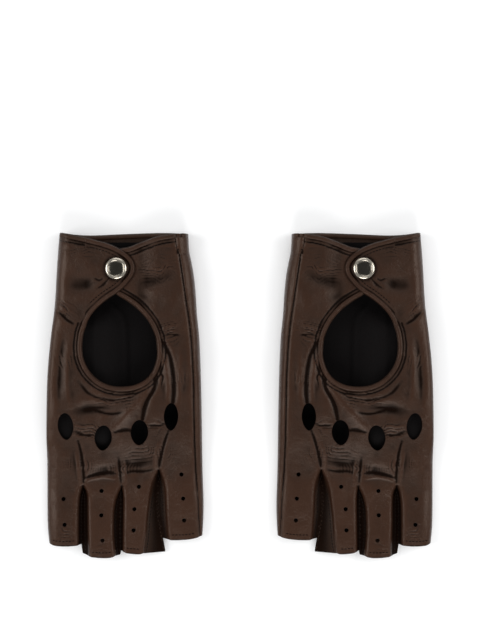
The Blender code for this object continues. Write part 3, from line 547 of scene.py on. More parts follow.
def gap_rows(gaps, tree, radius, count, step):
    """Rows of points that follow the rounded edges beside the gaps closely."""
    rows = []
    for side in (flow(side, step) for gap in gaps for side in gap):
        along = unit(np.gradient(side, axis=0))
        for k in range(1, count + 1):
            away = radius * (1.0 - math.cos(math.pi / 2.0 * k / count))
            for turn in (1.0, -1.0):
                moved = side + turn * away * np.column_stack([-along[:, 1], along[:, 0]])
                clear = distance(tree, moved[:, 0], moved[:, 1]) > away - 0.06
                rows.append(moved[clear])
    return np.vstack(rows)


def oval(place_x, place_y, half_x, half_y, angle, steps):
    """An upright oval hole whose lower end is a little pointed."""
    a = np.linspace(0.0, 2.0 * math.pi, steps, endpoint=False)
    x, y = half_x * np.cos(a), half_y * np.sin(a)
    x = x * np.where(y < 0.0, 1.0 - 0.16 * (y / half_y) ** 2, 1.0)
    c, s = math.cos(math.radians(angle)), math.sin(math.radians(angle))
    return np.column_stack([place_x + c * x - s * y, place_y + s * x + c * y])


def finger_run(gaps, ends, step):
    """The outline from the index finger's outer corner round all the fingertips."""
    run = []
    for i, end in enumerate(ends):
        run.append(flow(end, step)[:-1])
        if i < len(gaps):
            run += [flow(side, step)[:-1] for side in gaps[i]]
    return np.vstack(run + [np.array([ends[-1][-1]])])


FAR = 60.0                      # past either side of the glove
BEND_SPANS = ((BEND, -FAR, RING_LIMIT), (LITTLE_BEND, LITTLE_LIMIT, FAR))


def on_bends(ring):
    """Puts corners of the outline where the bending lines cross it."""
    for level, low, high in BEND_SPANS:
        ring = snapped(ring, level, low, high)
    return ring


def bend_lines(ring, step):
    """The runs of points along both bending lines."""
    return [cut for span in BEND_SPANS for cut in bending_cuts(ring, *span, step)]


# ---------------------------------------------------------------- leather sheets
class Sheet:
    """One welded surface of the glove, with smooth normals, that pieces are cut from."""

    def __init__(self, patches):
        """Each patch is its points, its triangles and the name of its leather."""
        found, points, self.leather, faces = {}, [], [], []
        for places, triangles, leather in patches:
            index = []
            for place in places:
                key = tuple(np.round(place, 2))
                if key not in found:
                    found[key] = len(points)
                    points.append(place)
                index.append(found[key])
            triangles = np.array(index)[triangles]
            whole = np.array([len(set(t)) == 3 for t in triangles])
            faces.append(triangles[whole])
            self.leather += [leather] * int(whole.sum())
        self.points, self.faces = np.array(points), np.vstack(faces)
        self.leather = np.array(self.leather)
        self.normals = self.smooth_normals()
        self.tone = self.painted_crease_shade()
        self.open_edges = {tuple(sorted(e)) for e in self.edges_of(self.faces)}

    def smooth_normals(self):
        a, b, c = (self.points[self.faces[:, k]] for k in range(3))
        flat = np.cross(b - a, c - a)
        normals = np.zeros_like(self.points)
        for k in range(3):
            np.add.at(normals, self.faces[:, k], flat)
        return unit(normals)

    def painted_crease_shade(self):
        """Painted shade and highlight of the leather: 0 is painted shade deep in the creases, a half is level
        leather, 1 is painted highlight on the ridges.
        """
        edges = np.vstack([self.faces[:, [0, 1]], self.faces[:, [1, 2]], self.faces[:, [2, 0]]])
        count = np.zeros(len(self.points))
        np.add.at(count, edges[:, 0], 1.0)
        np.add.at(count, edges[:, 1], 1.0)
        smooth, tone = self.points.copy(), np.full(len(self.points), 0.5)
        for turns, gain in ((3, 2.4), (12, 0.9), (60, 0.35)):
            for _ in range(turns):
                total = np.zeros_like(smooth)
                np.add.at(total, edges[:, 0], smooth[edges[:, 1]])
                np.add.at(total, edges[:, 1], smooth[edges[:, 0]])
                smooth = total / count[:, None]
            tone += gain * np.clip(((self.points - smooth) * self.normals).sum(1), -0.35, 0.35)
        return np.clip(tone, 0.0, 1.0)

    @staticmethod
    def edges_of(faces):
        """Directed edges that have a face on one side only."""
        edges = np.vstack([faces[:, [0, 1]], faces[:, [1, 2]], faces[:, [2, 0]]])
        ordered = np.sort(edges, axis=1)
        _, first, count = np.unique(ordered, axis=0, return_index=True, return_counts=True)
        return edges[first[count == 1]]

    def piece(self, name, chosen, side, thickness, inner_rule=None):
        """A closed piece of leather from the chosen faces: both surfaces and a rounded rim."""
        faces = self.faces[chosen]
        used, faces = np.unique(faces, return_inverse=True)
        faces = faces.reshape(-1, 3)
        count = len(used)
        outer, normals = self.points[used], self.normals[used]
        inner = outer - normals * thickness
        edges = self.edges_of(faces)
        free = np.array([tuple(sorted(used[e])) in self.open_edges for e in edges])
        outward = np.zeros_like(outer)
        along = outer[edges[:, 1]] - outer[edges[:, 0]]
        away = np.cross(along, normals[edges[:, 0]]) * free[:, None]
        for k in range(2):
            np.add.at(outward, edges[:, k], away)
        outward = unit(outward)
        rim = np.unique(edges)
        at = np.full(count, -1)
        at[rim] = 2 * count + np.arange(len(rim))
        middle = (outer[rim] + inner[rim]) / 2.0 + outward[rim] * thickness * 0.42
        points = np.vstack([outer, inner, middle])
        all_normals = np.vstack([normals, -normals, outward[rim]])
        e0, e1 = edges[:, 0], edges[:, 1]
        walls = np.vstack([np.column_stack([e1, e0, at[e0], at[e1]]),
                           np.column_stack([at[e1], at[e0], e0 + count, e1 + count])])
        triangles = np.vstack([faces, faces[:, ::-1] + count])
        slots = np.zeros(len(triangles) + len(walls), int)
        slots[len(faces):2 * len(faces)] = 1
        if inner_rule is not None:
            low = points[triangles[len(faces):]].mean(1)
            slots[len(faces):2 * len(faces)] = inner_rule(low).astype(int)
        made = mesh_object(name, side, points, [list(map(int, f)) for f in triangles]
                           + [list(map(int, f)) for f in walls], all_normals, slots)
        # Painted shade: the inner surface gets tone 0.4 and the cut rim 0.2, so outer leather showing there
        # is painted darker.
        tone = np.r_[self.tone[used], np.full(count, 0.4), np.full(len(rim), 0.2)].astype(np.float32)
        made.data.attributes.new("tone", "FLOAT", "POINT").data.foreach_set("value", tone)
        return made

    def whole(self, name, side, thickness):
        """All of the surface as one piece of leather."""
        return self.piece(name, np.ones(len(self.faces), bool), side, thickness)


def mesh_object(name, side, points, faces, normals, slots):
    """A mesh in metres in the frame, reflected when it belongs to the right glove."""
    turn = -1.0 if side == "right" else 1.0
    places = np.array(points, float) + (MIDDLE, 0.0, 0.0)
    places[:, 0] *= turn
    if side == "right":
        faces = [face[::-1] for face in faces]
    mesh = bpy.data.meshes.new(f"{side}_{name}")
    mesh.from_pydata((places * MM).tolist(), [], faces)
    mesh.polygons.foreach_set("use_smooth", [True] * len(mesh.polygons))
    mesh.polygons.foreach_set("material_index", list(map(int, slots)))
    mesh.update()
    if normals is not None:
        normals = np.array(normals, float) * (turn, 1.0, 1.0)
        lengths = np.linalg.norm(normals, axis=1)
        normals[lengths < 0.5] = 0.0
        mesh.normals_split_custom_set_from_vertices(normals.tolist())
    made = bpy.data.objects.new(mesh.name, mesh)
    bpy.context.collection.objects.link(made)
    return made


def toned(piece, tone):
    """Gives a piece without creases one tone all over; on leather a tone below a half is painted shade."""
    values = np.full(len(piece.data.vertices), tone, np.float32)
    piece.data.attributes.new("tone", "FLOAT", "POINT").data.foreach_set("value", values)
    return piece


def ring_faces(count, size, first=0, closed=False):
    """Four-sided faces between rings of points, and from the last ring to the first when closed."""
    faces = []
    for i in range(count if closed else count - 1):
        here, ahead = first + i * size, first + (i + 1) % count * size
        faces += [[here + j, here + (j + 1) % size, ahead + (j + 1) % size, ahead + j] for j in range(size)]
    return faces


def end_faces(count, size, first=0):
    """The two faces that close the first and the last ring."""
    last = first + (count - 1) * size
    return [list(range(first, first + size))[::-1], list(range(last, last + size))]


def lofted(name, side, rings, tone=0.5, closed=False):
    """A skin through rings of points, with faces at both ends or closed on itself."""
    rings = np.array(rings)
    count, size = rings.shape[:2]
    faces = ring_faces(count, size, 0, closed) + ([] if closed else end_faces(count, size))
    return toned(mesh_object(name, side, rings.reshape(-1, 3), faces, None, np.zeros(len(faces))), tone)


def dress(piece, side, bodies, nodes, materials):
    """Gives a piece its materials and hides the nodes it stands for; a piece of one body is parented to that
    body, while a piece of several bodies only has its place baked in.
    """
    for material in materials:
        piece.data.materials.append(material)
    names = [f"{side}_{body}" for body in bodies]
    if len(names) == 1:
        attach(piece, names[0])
    else:
        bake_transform(piece)
    if nodes:
        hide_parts(*[f"{side}_{node}" for node in nodes])
    return piece


FINGERS = ("index", "middle", "ring", "little")
FINGER_BENDS = {"index": BEND, "middle": BEND, "ring": BEND, "little": LITTLE_BEND}


def finger_of(x, y):
    """Index of the finger for each point beyond the bending lines, or -1 on the hand."""
    which = sum((x > split(y)).astype(int) for split in FINGER_SPLITS)
    return np.where(y < np.where(which == 3, LITTLE_BEND, BEND), which, -1)


def back_ring(step):
    """Outline of the back, with the wrist opening as a bay that the tab will close."""
    fingers = finger_run(BACK_GAPS, BACK_ENDS, step)[::-1]
    return np.vstack([flow(CUFF_EDGE, step)[:-1], TAB_ROOT[:0:-1], bound_opening(step),
                      [SEAM_CORNER], silhouette("little", LITTLE_CUFF, LITTLE_TIP, step),
                      fingers[:-1], silhouette("index", INDEX_TIP, INDEX_CUFF, step)[:-1]])


def silhouette(side, start, end, step):
    """Points along an outer side at fixed places, so that back and palm share them."""
    low, high = min(start, end), max(start, end)
    y = np.arange(math.ceil(low / step), math.floor(high / step) + 1) * step
    y = np.unique(np.r_[low, y[(y > low + 0.3 * step) & (y < high - 0.3 * step)], high, BEND, LITTLE_BEND])
    across = index_side if side == "index" else little_side
    line = np.column_stack([across(y), y])
    return line if start < end else line[::-1]


def palm_ring(step):
    """Outline of the palm, which shares the outer sides with the back."""
    fingers = finger_run(PALM_GAPS, PALM_ENDS, step)[::-1]
    return np.vstack([flow(PALM_CUFF, step)[:-1], silhouette("little", LITTLE_CUFF, LITTLE_TIP, step),
                      fingers[1:-1], silhouette("index", INDEX_TIP, INDEX_CUFF, step)[:-1]])


def lifted(places, height):
    return np.column_stack([places, height(places[:, 0], places[:, 1])])


def on_side(points):
    """Puts points of the outer sides at exactly the same height on back and palm."""
    for side, across in (("index", index_side), ("little", little_side)):
        near = np.abs(points[:, 0] - across(points[:, 1])) < 0.02
        points[near, 2] = side_level(points[near, 1], side)
    return points


def round_ring(place, radius, steps):
    return oval(place[0], place[1], radius, radius, 0.0, steps)


def upward(faces, places, up):
    """Turns the triangles of a cutting pattern to face up or down."""
    a, b, c = (places[faces[:, k]] for k in range(3))
    rising = (b - a)[:, 0] * (c - a)[:, 1] - (b - a)[:, 1] * (c - a)[:, 0] > 0.0
    faces = faces.copy()
    faces[rising != up] = faces[rising != up][:, ::-1]
    return faces


def tab_outline(step):
    """Outline of the tab, closed along the line where it bends."""
    return np.vstack([flow(TAB_EDGE, step), TAB_ROOT[1:-1]])


def flat_sheet(ring, step, height, holes=()):
    """A surface that is one cutting pattern, laid at a height."""
    places, faces = pattern(ring, step, holes)
    return Sheet([(lifted(places, height), upward(faces, places, True), "leather")])


def glove_sheets(settings):
    """The whole leather of a glove as one surface: back, side strip, tab and palm."""
    step = settings.leather_step
    ring = on_bends(back_ring(RING_STEP))
    holes = [oval(*hole, 72) for hole in KNUCKLE_HOLES] + [round_ring(v, VENT_RADIUS, 22) for v in VENTS]
    rows = np.vstack([edge_rows(BACK_ROLL, 5, 1.0), gap_rows(BACK_GAPS, BACK_GAP_TREE, GAP_ROLL, 4, 0.7)])
    rows = rows[inside(rows, ring)]
    for hole in holes:
        rows = rows[~inside(rows, hole)]
    back = pattern(ring, step, holes, bend_lines(ring, step), rows)
    tab_ring = tab_outline(RING_STEP)
    tab = pattern(tab_ring, step)
    ring = on_bends(palm_ring(RING_STEP))
    rows = np.vstack([edge_rows(PALM_ROLL, 5, 1.2),
                      gap_rows(PALM_GAPS, PALM_GAP_TREE, PALM_GAP_ROLL, 3, 0.9)])
    rows = rows[inside(rows, ring)]
    palm = pattern(ring, PALM_STEP, [oval(*THUMB_SLIT, SLIT_STEPS)], bend_lines(ring, PALM_BEND_STEP), rows)
    back_points = on_side(lifted(back[0], back_height))
    tab_points = lifted(tab[0], tab_height)
    palm_points = on_side(lifted(palm[0], palm_height))
    middle = back[0][back[1]].mean(1)
    beyond_seam = middle[:, 0] > seam_side(middle[:, 1])
    back_faces = upward(back[1], back[0], True)
    sheet = Sheet([(back_points, back_faces[~beyond_seam], "back"),
                   (back_points, back_faces[beyond_seam], "strip"),
                   (tab_points, upward(tab[1], tab[0], True), "tab"),
                   (palm_points, upward(palm[1], palm[0], False), "palm")])
    paint_shade_and_light(sheet, tab_ring)
    return sheet


def line_shade(strength, away, width):
    """Painted shade along a line, for places a distance away from it."""
    return strength * np.exp(-(away / width) ** 2)


def paint_shade_and_light(sheet, tab_ring):
    """Paints shade into the leather along seams, stitches, bindings, gaps and finger ends, and paints light
    onto the fingers.
    """
    x, y, z = sheet.points.T
    facing_up = sheet.normals[:, 2] > 0.0
    on_tab = inside(sheet.points[:, :2], tab_ring) & (np.abs(z - tab_height(x, y)) < 0.01)
    stitches = np.where(on_tab, distance(TAB_STITCH_TREE, x, y), distance(BACK_STITCH_TREE, x, y))
    bindings = np.where(on_tab, distance(TAB_EDGE_TREE, x, y), distance(BACK_BOUND_TREE, x, y))
    # Painted shade: dark lines along the side seam, the gaps between fingers, the stitch rows, the inner side
    # of the bindings and the finger ends, where their grooves and edges fall into shade.
    lines = line_shade(0.75, x - seam_side(y), 0.5) * facing_up
    lines += line_shade(0.9, distance(BACK_GAP_TREE, x, y), 0.8)
    lines += line_shade(0.35, stitches, 0.5)
    lines += line_shade(0.6, bindings - BINDING_INNER, 0.6) * (z > BACK_LEVEL)
    lines += line_shade(0.5, distance(BACK_END_TREE, x, y), 0.5)
    # Painted light: the upward faces of the fingers are painted lighter towards the tips and towards the
    # little finger, for the front light falling on them.
    mottle_and_painted_light = 0.45 * ease((FINGER_LIGHT_START - y) / 16.0) * ease((x + 38.0) / 34.0) * facing_up
    sheet.tone = np.clip(sheet.tone + mottle_and_painted_light - lines, 0.0, 1.0)


# ---------------------------------------------------------------- swept edges and stitches
def frames_along(line):
    """Direction, sideways and up vectors at each point of a line."""
    along = unit(np.gradient(line, axis=0))
    across = unit(np.cross(along, (0.0, 0.0, 1.0)))
    return along, across, np.cross(across, along)


def swept(name, side, line, half_width, half_height, seed, up=None):
    """A rolled leather edge: an oval swept along a line, with small puckers."""
    along, across, rise = frames_along(line)
    if up is not None:
        rise = up
        across = np.cross(along, rise)
    noise = np.random.default_rng(seed).uniform(-1.0, 1.0, len(line))
    pucker = np.convolve(noise, [0.25, 0.5, 0.25], "same")
    angle = np.linspace(0.0, 2.0 * math.pi, ROLL_FACETS, endpoint=False)
    c, s = (np.sign(wave) * np.abs(wave) ** ROLL_SQUARENESS for wave in (np.cos(angle), np.sin(angle)))
    rings = []
    for i, place in enumerate(line):
        w = half_width * (1.0 + 0.05 * pucker[i])
        h = half_height * (1.0 + 0.09 * pucker[i])
        rings.append(place + np.outer(w * c, across[i]) + np.outer(h * s, rise[i]))
    return lofted(name, side, rings)


def stitch_rows(name, side, lines, settings):
    """Every stitch of some rows as one mesh of short rounded threads lying on the leather."""
    length, radius = settings.stitch_length / MM, settings.thread_radius / MM
    pitch = settings.stitch_pitch / MM
    angles = np.linspace(0, 2 * math.pi, THREAD_FACETS, endpoint=False)
    ring = np.array([(math.cos(a), math.sin(a)) for a in angles])
    profile = [(-0.5, 0.35, -0.14), (-0.36, 0.9, 0.0), (0.0, 1.0, 0.05), (0.36, 0.9, 0.0), (0.5, 0.35, -0.14)]
    points, faces = [], []
    for line in lines:
        gaps = np.r_[0.0, np.cumsum(np.linalg.norm(np.diff(line, axis=0), axis=1))]
        for at in np.arange(pitch, gaps[-1] - pitch, pitch):
            a, b = (np.array([np.interp(at + s, gaps, line[:, k]) for k in range(3)]) for s in (-0.5, 0.5))
            along = (b - a) / max(np.linalg.norm(b - a), 1e-6)
            across = np.cross(along, (0.0, 0.0, 1.0))
            across /= max(np.linalg.norm(across), 1e-6)
            up = np.cross(across, along)
            first = len(points)
            for t, size, lift in profile:
                centre = (a + b) / 2.0 + along * t * length + up * (lift + 0.02)
                points += [centre + radius * size * (across * c + up * s) for c, s in ring]
            faces += ring_faces(len(profile), THREAD_FACETS, first)
            faces += end_faces(len(profile), THREAD_FACETS, first)
    return mesh_object(name, side, points, faces, None, np.zeros(len(faces)))


def laid(line, height, lift=0.0):
    """A plane line laid on the leather."""
    return np.column_stack([line, height(line[:, 0], line[:, 1]) + lift])


def laid_rows(lines):
    """The lines that are long enough for stitches, laid on the back."""
    return [laid(line, back_height) for line in lines if len(line) > SHORTEST_ROW]


# ---------------------------------------------------------------- settings
class DrivingGloveSettings(bpy.types.PropertyGroup):
    leather_step: FloatProperty(name="Leather Step", default=0.62, min=0.4, max=3.0,
                                description="Spacing of the back leather's points, in mm")
    leather_thickness: FloatProperty(name="Leather Thickness", description="Thickness of the leather",
                                     default=0.9 * MM, unit="LENGTH")
    wrinkle_strength: FloatProperty(name="Wrinkle Strength", description="Scale of the folds and wrinkles",
                                    default=1.5, min=0.0, max=2.0)
    binding_width: FloatProperty(name="Binding Width", description="Width of the rolled edges",
                                 default=2.5 * MM, unit="LENGTH")
    stitch_pitch: FloatProperty(name="Stitch Pitch", description="Distance from stitch to stitch",
                                default=1.9 * MM, unit="LENGTH")
    stitch_length: FloatProperty(name="Stitch Length", description="Length of one stitch",
                                 default=1.4 * MM, unit="LENGTH")
    thread_radius: FloatProperty(name="Thread Radius", description="Radius of the sewing thread",
                                 default=0.23 * MM, unit="LENGTH")
    snap_steps: IntProperty(name="Snap Steps", description="Facets round the snap fastener",
                            default=96, min=16, max=256)
    leather_colour: FloatVectorProperty(name="Leather Colour", description="Colour of the outer leather",
                                        subtype="COLOR", default=(0.0270, 0.0116, 0.0065), min=0.0, max=1.0)
    lining_colour: FloatVectorProperty(name="Lining Colour", description="Colour inside the glove",
                                       subtype="COLOR", default=(0.0042, 0.0034, 0.0034), min=0.0, max=1.0)
    thread_colour: FloatVectorProperty(name="Thread Colour", description="Colour of the thread",
                                       subtype="COLOR", default=(0.004, 0.0025, 0.002), min=0.0, max=1.0)
    metal_colour: FloatVectorProperty(name="Metal Colour", description="Colour of the snap fastener",
                                      subtype="COLOR", default=(0.74, 0.67, 0.56), min=0.0, max=1.0)


# ---------------------------------------------------------------- materials
class Nodes:
    """Short way of adding linked nodes to a material."""

    def __init__(self, name):
        self.material = bpy.data.materials.new(name)
        self.material.use_nodes = True
        self.tree = self.material.node_tree
        self.shader = self.tree.nodes["Principled BSDF"]
        self.place = self.add("ShaderNodeTexCoord").outputs["Object"]

    def fill(self, socket, value):
        """Sets a socket, or links it when the value is another socket."""
        if isinstance(value, bpy.types.NodeSocket):
            self.tree.links.new(value, socket)
        else:
            socket.default_value = value

    def add(self, kind, inputs=None, **settings):
        node = self.tree.nodes.new(kind)
        for key, value in settings.items():
            setattr(node, key, value)
        for key, value in (inputs or {}).items():
            self.fill(node.inputs[key], value)
        return node

    def noise(self, size, detail=3.0, rough=0.55):
        return self.add("ShaderNodeTexNoise", {"Vector": self.place, "Scale": 1.0 / (size * MM),
                                               "Detail": detail, "Roughness": rough}).outputs["Fac"]

    def warped(self, size, reach):
        """The place, shifted by smooth noise so that patterns lose their regularity."""
        shift = self.add("ShaderNodeTexNoise", {"Vector": self.place, "Scale": 1.0 / (size * MM),
                                                "Detail": 3.0}).outputs["Color"]
        shift = self.add("ShaderNodeVectorMath", {0: shift, "Scale": reach * MM}, operation="SCALE")
        moved = self.add("ShaderNodeVectorMath", {0: self.place, 1: shift.outputs["Vector"]})
        return moved.outputs["Vector"]

    def mixed_value(self, factor, first, second):
        return self.add("ShaderNodeMix", {0: factor, 2: second, 3: first}).outputs[0]

    def spread(self, value, low, high, to_low, to_high):
        return self.add("ShaderNodeMapRange", {"Value": value, "From Min": low, "From Max": high,
                                               "To Min": to_low, "To Max": to_high}).outputs["Result"]

    def mix(self, factor, first, second):
        return self.add("ShaderNodeMix", {0: factor, 6: first, 7: second}, data_type="RGBA").outputs[2]

    def bump(self, height, depth, strength, below=None):
        inputs = {"Height": height, "Distance": depth * MM, "Strength": strength}
        if below is not None:
            inputs["Normal"] = below
        return self.add("ShaderNodeBump", inputs).outputs["Normal"]

    def set(self, **values):
        for key, value in values.items():
            self.fill(self.shader.inputs[key.replace("_", " ")], value)
        return self.material


def rgba(colour, scale=1.0):
    return (colour[0] * scale, colour[1] * scale, colour[2] * scale, 1.0)


def leather_material(name, colour, grain, rough):
    """Smooth glove leather: pebbled grain and crackled creases, with painted shade in the valleys and painted
    highlight on the ridges, both read from the tone attribute.
    """
    n = Nodes(name)
    cells = n.add("ShaderNodeTexVoronoi", {"Vector": n.place, "Scale": 1.0 / (grain * MM)},
                  feature="DISTANCE_TO_EDGE").outputs["Distance"]
    pebbles = n.spread(cells, 0.0, 0.28, 0.0, 1.0)
    crackle = n.add("ShaderNodeTexVoronoi", {"Vector": n.warped(3.0, 1.6), "Scale": 1.0 / (2.7 * MM)},
                    feature="DISTANCE_TO_EDGE").outputs["Distance"]
    lines = n.spread(crackle, 0.0, 0.10, 0.0, 1.0)
    where = n.spread(n.noise(11.0, 3.0), 0.46, 0.62, 0.0, 1.0)
    creases = n.spread(n.noise(2.2, 5.0, 0.64), 0.36, 0.62, 0.0, 1.0)
    # Random mottle of the leather's own colour.
    mottle_and_painted_light = n.spread(n.noise(15.0, 4.0), 0.40, 0.66, 0.0, 1.0)
    tone = n.add("ShaderNodeAttribute", attribute_name="tone").outputs["Fac"]
    base = n.mix(mottle_and_painted_light, rgba(colour, 0.86), rgba(colour, 1.16))
    # Painted shade: low tone (creases, seams, gaps, rims) darkens towards 0.14 of the colour. Painted
    # highlight: high tone (ridges, the lighter fingers) lightens towards 1.9 of the colour.
    base = n.mix(n.spread(tone, 0.10, 0.5, 1.0, 0.0), base, rgba(colour, 0.14))
    base = n.mix(n.spread(tone, 0.5, 1.0, 0.0, 0.55), base, rgba(colour, 1.9))
    base = n.mix(n.spread(pebbles, 0.0, 1.0, 0.3, 0.0), base, rgba(colour, 0.5))
    roughness = n.spread(tone, 0.15, 0.85, rough + 0.14, rough - 0.08)
    shine = n.spread(tone, 0.02, 0.45, 0.02, 0.26)
    normal = n.bump(creases, 0.16, 0.5)
    normal = n.bump(n.mixed_value(where, lines, 1.0), 0.12, 0.55, normal)
    normal = n.bump(pebbles, 0.045, 0.35, normal)
    return n.set(Base_Color=base, Roughness=roughness, Normal=normal, Coat_Weight=0.02,
                 Coat_Roughness=0.3, Specular_IOR_Level=shine, Specular_Tint=(1.0, 0.84, 0.72, 1.0))


def lining_material(name, colour):
    n = Nodes(name)
    nap = n.noise(0.6, 4.0, 0.7)
    base = n.mix(n.spread(nap, 0.35, 0.65, 0.0, 1.0), rgba(colour, 0.7), rgba(colour, 1.35))
    normal = n.bump(nap, 0.12, 0.5)
    roughness = n.spread(nap, 0.3, 0.7, 0.82, 0.95)
    return n.set(Base_Color=base, Roughness=roughness, Normal=normal, Specular_IOR_Level=0.08)


def thread_material(name, colour):
    n = Nodes(name)
    ply = n.add("ShaderNodeTexWave", {"Vector": n.place, "Scale": 900.0, "Distortion": 1.5}).outputs["Fac"]
    return n.set(Base_Color=n.mix(ply, rgba(colour, 0.7), rgba(colour, 1.3)),
                 Roughness=n.spread(ply, 0.0, 1.0, 0.7, 0.55), Normal=n.bump(ply, 0.05, 0.5),
                 Specular_IOR_Level=0.06)


def metal_material(name, colour):
    n = Nodes(name)
    scuffs = n.noise(1.6, 6.0, 0.65)
    tone = n.add("ShaderNodeAttribute", attribute_name="tone").outputs["Fac"]
    roughness = n.spread(scuffs, 0.3, 0.7, 0.16, 0.27)
    # Painted reflection: where tone is 0 (the dome, and the socket, stud and post, which have no tone) the
    # metal is painted dark; where it is 1 (the rim) it is painted bright.
    base = n.mix(tone, rgba(colour, 0.10), rgba(colour, 0.86))
    base = n.mix(n.spread(scuffs, 0.4, 0.75, 0.0, 0.3), base, rgba(colour, 0.12))
    return n.set(Base_Color=base, Roughness=roughness, Metallic=1.0, Normal=n.bump(scuffs, 0.01, 0.2))


def floor_material():
    n = Nodes("Studio Floor")
    tone = n.spread(n.noise(60.0, 2.0), 0.3, 0.7, 0.83, 0.87)
    colour = n.add("ShaderNodeCombineColor", {"Red": tone, "Green": tone, "Blue": tone}).outputs["Color"]
    return n.set(Base_Color=colour, Roughness=n.spread(tone, 0.8, 0.9, 0.7, 0.8), Specular_IOR_Level=0.2,
                 Emission_Color=(1.0, 1.0, 1.0, 1.0), Emission_Strength=0.2)


def materials():
    """The five finishes, made once and shared by both gloves."""
    settings = bpy.context.scene.driving_gloves
    # Painted highlight: the edge leather is a lighter copy of the outer leather, standing in for the sheen on
    # the rolled bindings; the fourchettes use it too.
    highlit_edge_colour = [c * 1.25 for c in settings.leather_colour]
    makers = {"Outer Leather": (leather_material, settings.leather_colour, 0.55, 0.38),
              "Edge Leather": (leather_material, highlit_edge_colour, 0.5, 0.36),
              "Glove Lining": (lining_material, settings.lining_colour),
              "Sewing Thread": (thread_material, settings.thread_colour),
              "Snap Metal": (metal_material, settings.metal_colour)}
    return {key: bpy.data.materials.get(key) or make(key, *values)
            for key, (make, *values) in makers.items()}


# ---------------------------------------------------------------- pieces
class GLOVES_OT_leather(bpy.types.Operator):
    """Backs, palms, finger stalls and wrist tabs, cut from one smooth surface per glove"""

    bl_idname = "gloves.leather"
    bl_label = "Leather Sheets"

    def execute(self, context):
        settings, paint = context.scene.driving_gloves, materials()
        sheet = glove_sheets(settings)
        middle = sheet.points[sheet.faces].mean(1)
        finger = finger_of(middle[:, 0], middle[:, 1])
        is_back, is_tab = sheet.leather == "back", sheet.leather == "tab"
        under = ~is_back & ~is_tab
        skins = [paint["Outer Leather"], paint["Glove Lining"]]
        thickness = settings.leather_thickness / MM
        hem = lambda places: places[:, 1] < 84.0
        finger_ends = lambda places: places[:, 1] > np.where(places[:, 0] > 19.2, -72.0, -80.0)
        cuts = [("back", is_back & (finger < 0), None, ["back_panel"], None),
                ("palm", under & (finger < 0), None, ["palm_panel"], hem),
                ("index_stall", (finger == 0), 0, ["index_stall"], finger_ends)]
        cuts += [(f"{FINGERS[k]}_{part}", (is_back if part == "back" else under) & (finger == k), k,
                  [f"{FINGERS[k]}_{part}"], finger_ends) for k in (1, 2, 3) for part in ("back", "palm")]
        for side in SIDES:
            for name, chosen, k, nodes, rule in cuts:
                piece = sheet.piece(f"{name}_leather", chosen, side, thickness, rule)
                if k is None:
                    dress(piece, side, ["hand"], nodes, skins)
                else:
                    dress(piece, side, ["hand", f"{FINGERS[k]}_finger"], nodes, skins)
            piece = sheet.piece("wrist_tab_leather", is_tab, side, thickness)
            dress(piece, side, ["hand", "tab"], ["wrist_tab"], skins)
        return {"FINISHED"}


class GLOVES_OT_fourchettes(bpy.types.Operator):
    """Narrow strips of leather between the back and the palm, along the sides of the fingers"""

    bl_idname = "gloves.fourchettes"
    bl_label = "Fourchettes"

    def execute(self, context):
        settings, paint = context.scene.driving_gloves, materials()
        names = [("index", "index_fourchette"), ("middle", "middle_inner_fourchette"),
                 ("middle", "middle_outer_fourchette"), ("ring", "ring_inner_fourchette"),
                 ("ring", "ring_outer_fourchette"), ("little", "little_fourchette")]
        edges = [(back, palm) for gaps in zip(BACK_GAPS, PALM_GAPS) for back, palm in zip(*gaps)]
        for i, ((finger, node), (back, palm)) in enumerate(zip(names, edges)):
            rows, columns = FOURCHETTE_ROWS, FOURCHETTE_COLUMNS
            share = np.linspace(0.0, 1.0, columns + 1)
            back, palm = (line[np.linspace(0, len(line) - 1, rows + 1).round().astype(int)]
                          for line in (flow(back, 0.2), flow(palm, 0.2)))
            flat = back[:, None] * (1.0 - share)[:, None] + palm[:, None] * share[:, None]
            level = gap_level(flat[..., 0], flat[..., 1], BACK_SHARE - (BACK_SHARE - PALM_SHARE) * share)
            inward = 1.0 if i % 2 == 0 else -1.0
            flat[..., 0] += inward * 2.2 * PALM_GAP * share
            sag = 0.7 + 0.3 * soft_noise(flat[..., 1], level, 5.0, 40 + i)
            flat[..., 0] -= inward * 0.5 * np.sin(math.pi * share) * sag
            points = np.concatenate([flat, level[..., None]], axis=2).reshape(-1, 3)
            cells = np.arange(rows * (columns + 1)).reshape(rows, columns + 1)[:, :-1].ravel()
            a, b, c, d = cells, cells + 1, cells + columns + 2, cells + columns + 1
            faces = np.vstack([np.column_stack([a, b, c]), np.column_stack([a, c, d])])
            sheet = Sheet([(points, faces, "side")])
            if np.sign(sheet.normals[:, 0].sum()) != inward:
                sheet = Sheet([(points, faces[:, ::-1], "side")])
            # Painted shade: the fourchettes are painted dark, darkest at the bottom, and the four in the
            # first two gaps darker still.
            height = (sheet.points[:, 2] - sheet.points[:, 2].min()) / np.ptp(sheet.points[:, 2])
            sheet.tone = np.clip((0.2 if i < 4 else 0.5) * height - 0.1, 0.0, 1.0)
            for side in SIDES:
                piece = sheet.whole(f"{node}_leather", side, 0.8 * settings.leather_thickness / MM)
                dress(piece, side, ["hand", f"{finger}_finger"], [node],
                      [paint["Edge Leather"], paint["Glove Lining"]])
        return {"FINISHED"}


def side_turn(outermost, start, end, sign):
    """A bend round a side of the cuff, from one surface of the glove to the other."""
    angle = np.linspace(0.0, math.pi, 18)[1:-1]
    y = np.interp(angle, (0.0, math.pi), (start[1], end[1]))
    z = (start[2] + end[2]) / 2.0 + np.cos(angle) * (start[2] - end[2]) / 2.0
    base = start[0] if sign < 0 else end[0]
    return np.column_stack([base + sign * abs(outermost - base) * np.sin(angle) ** 0.7, y, z])


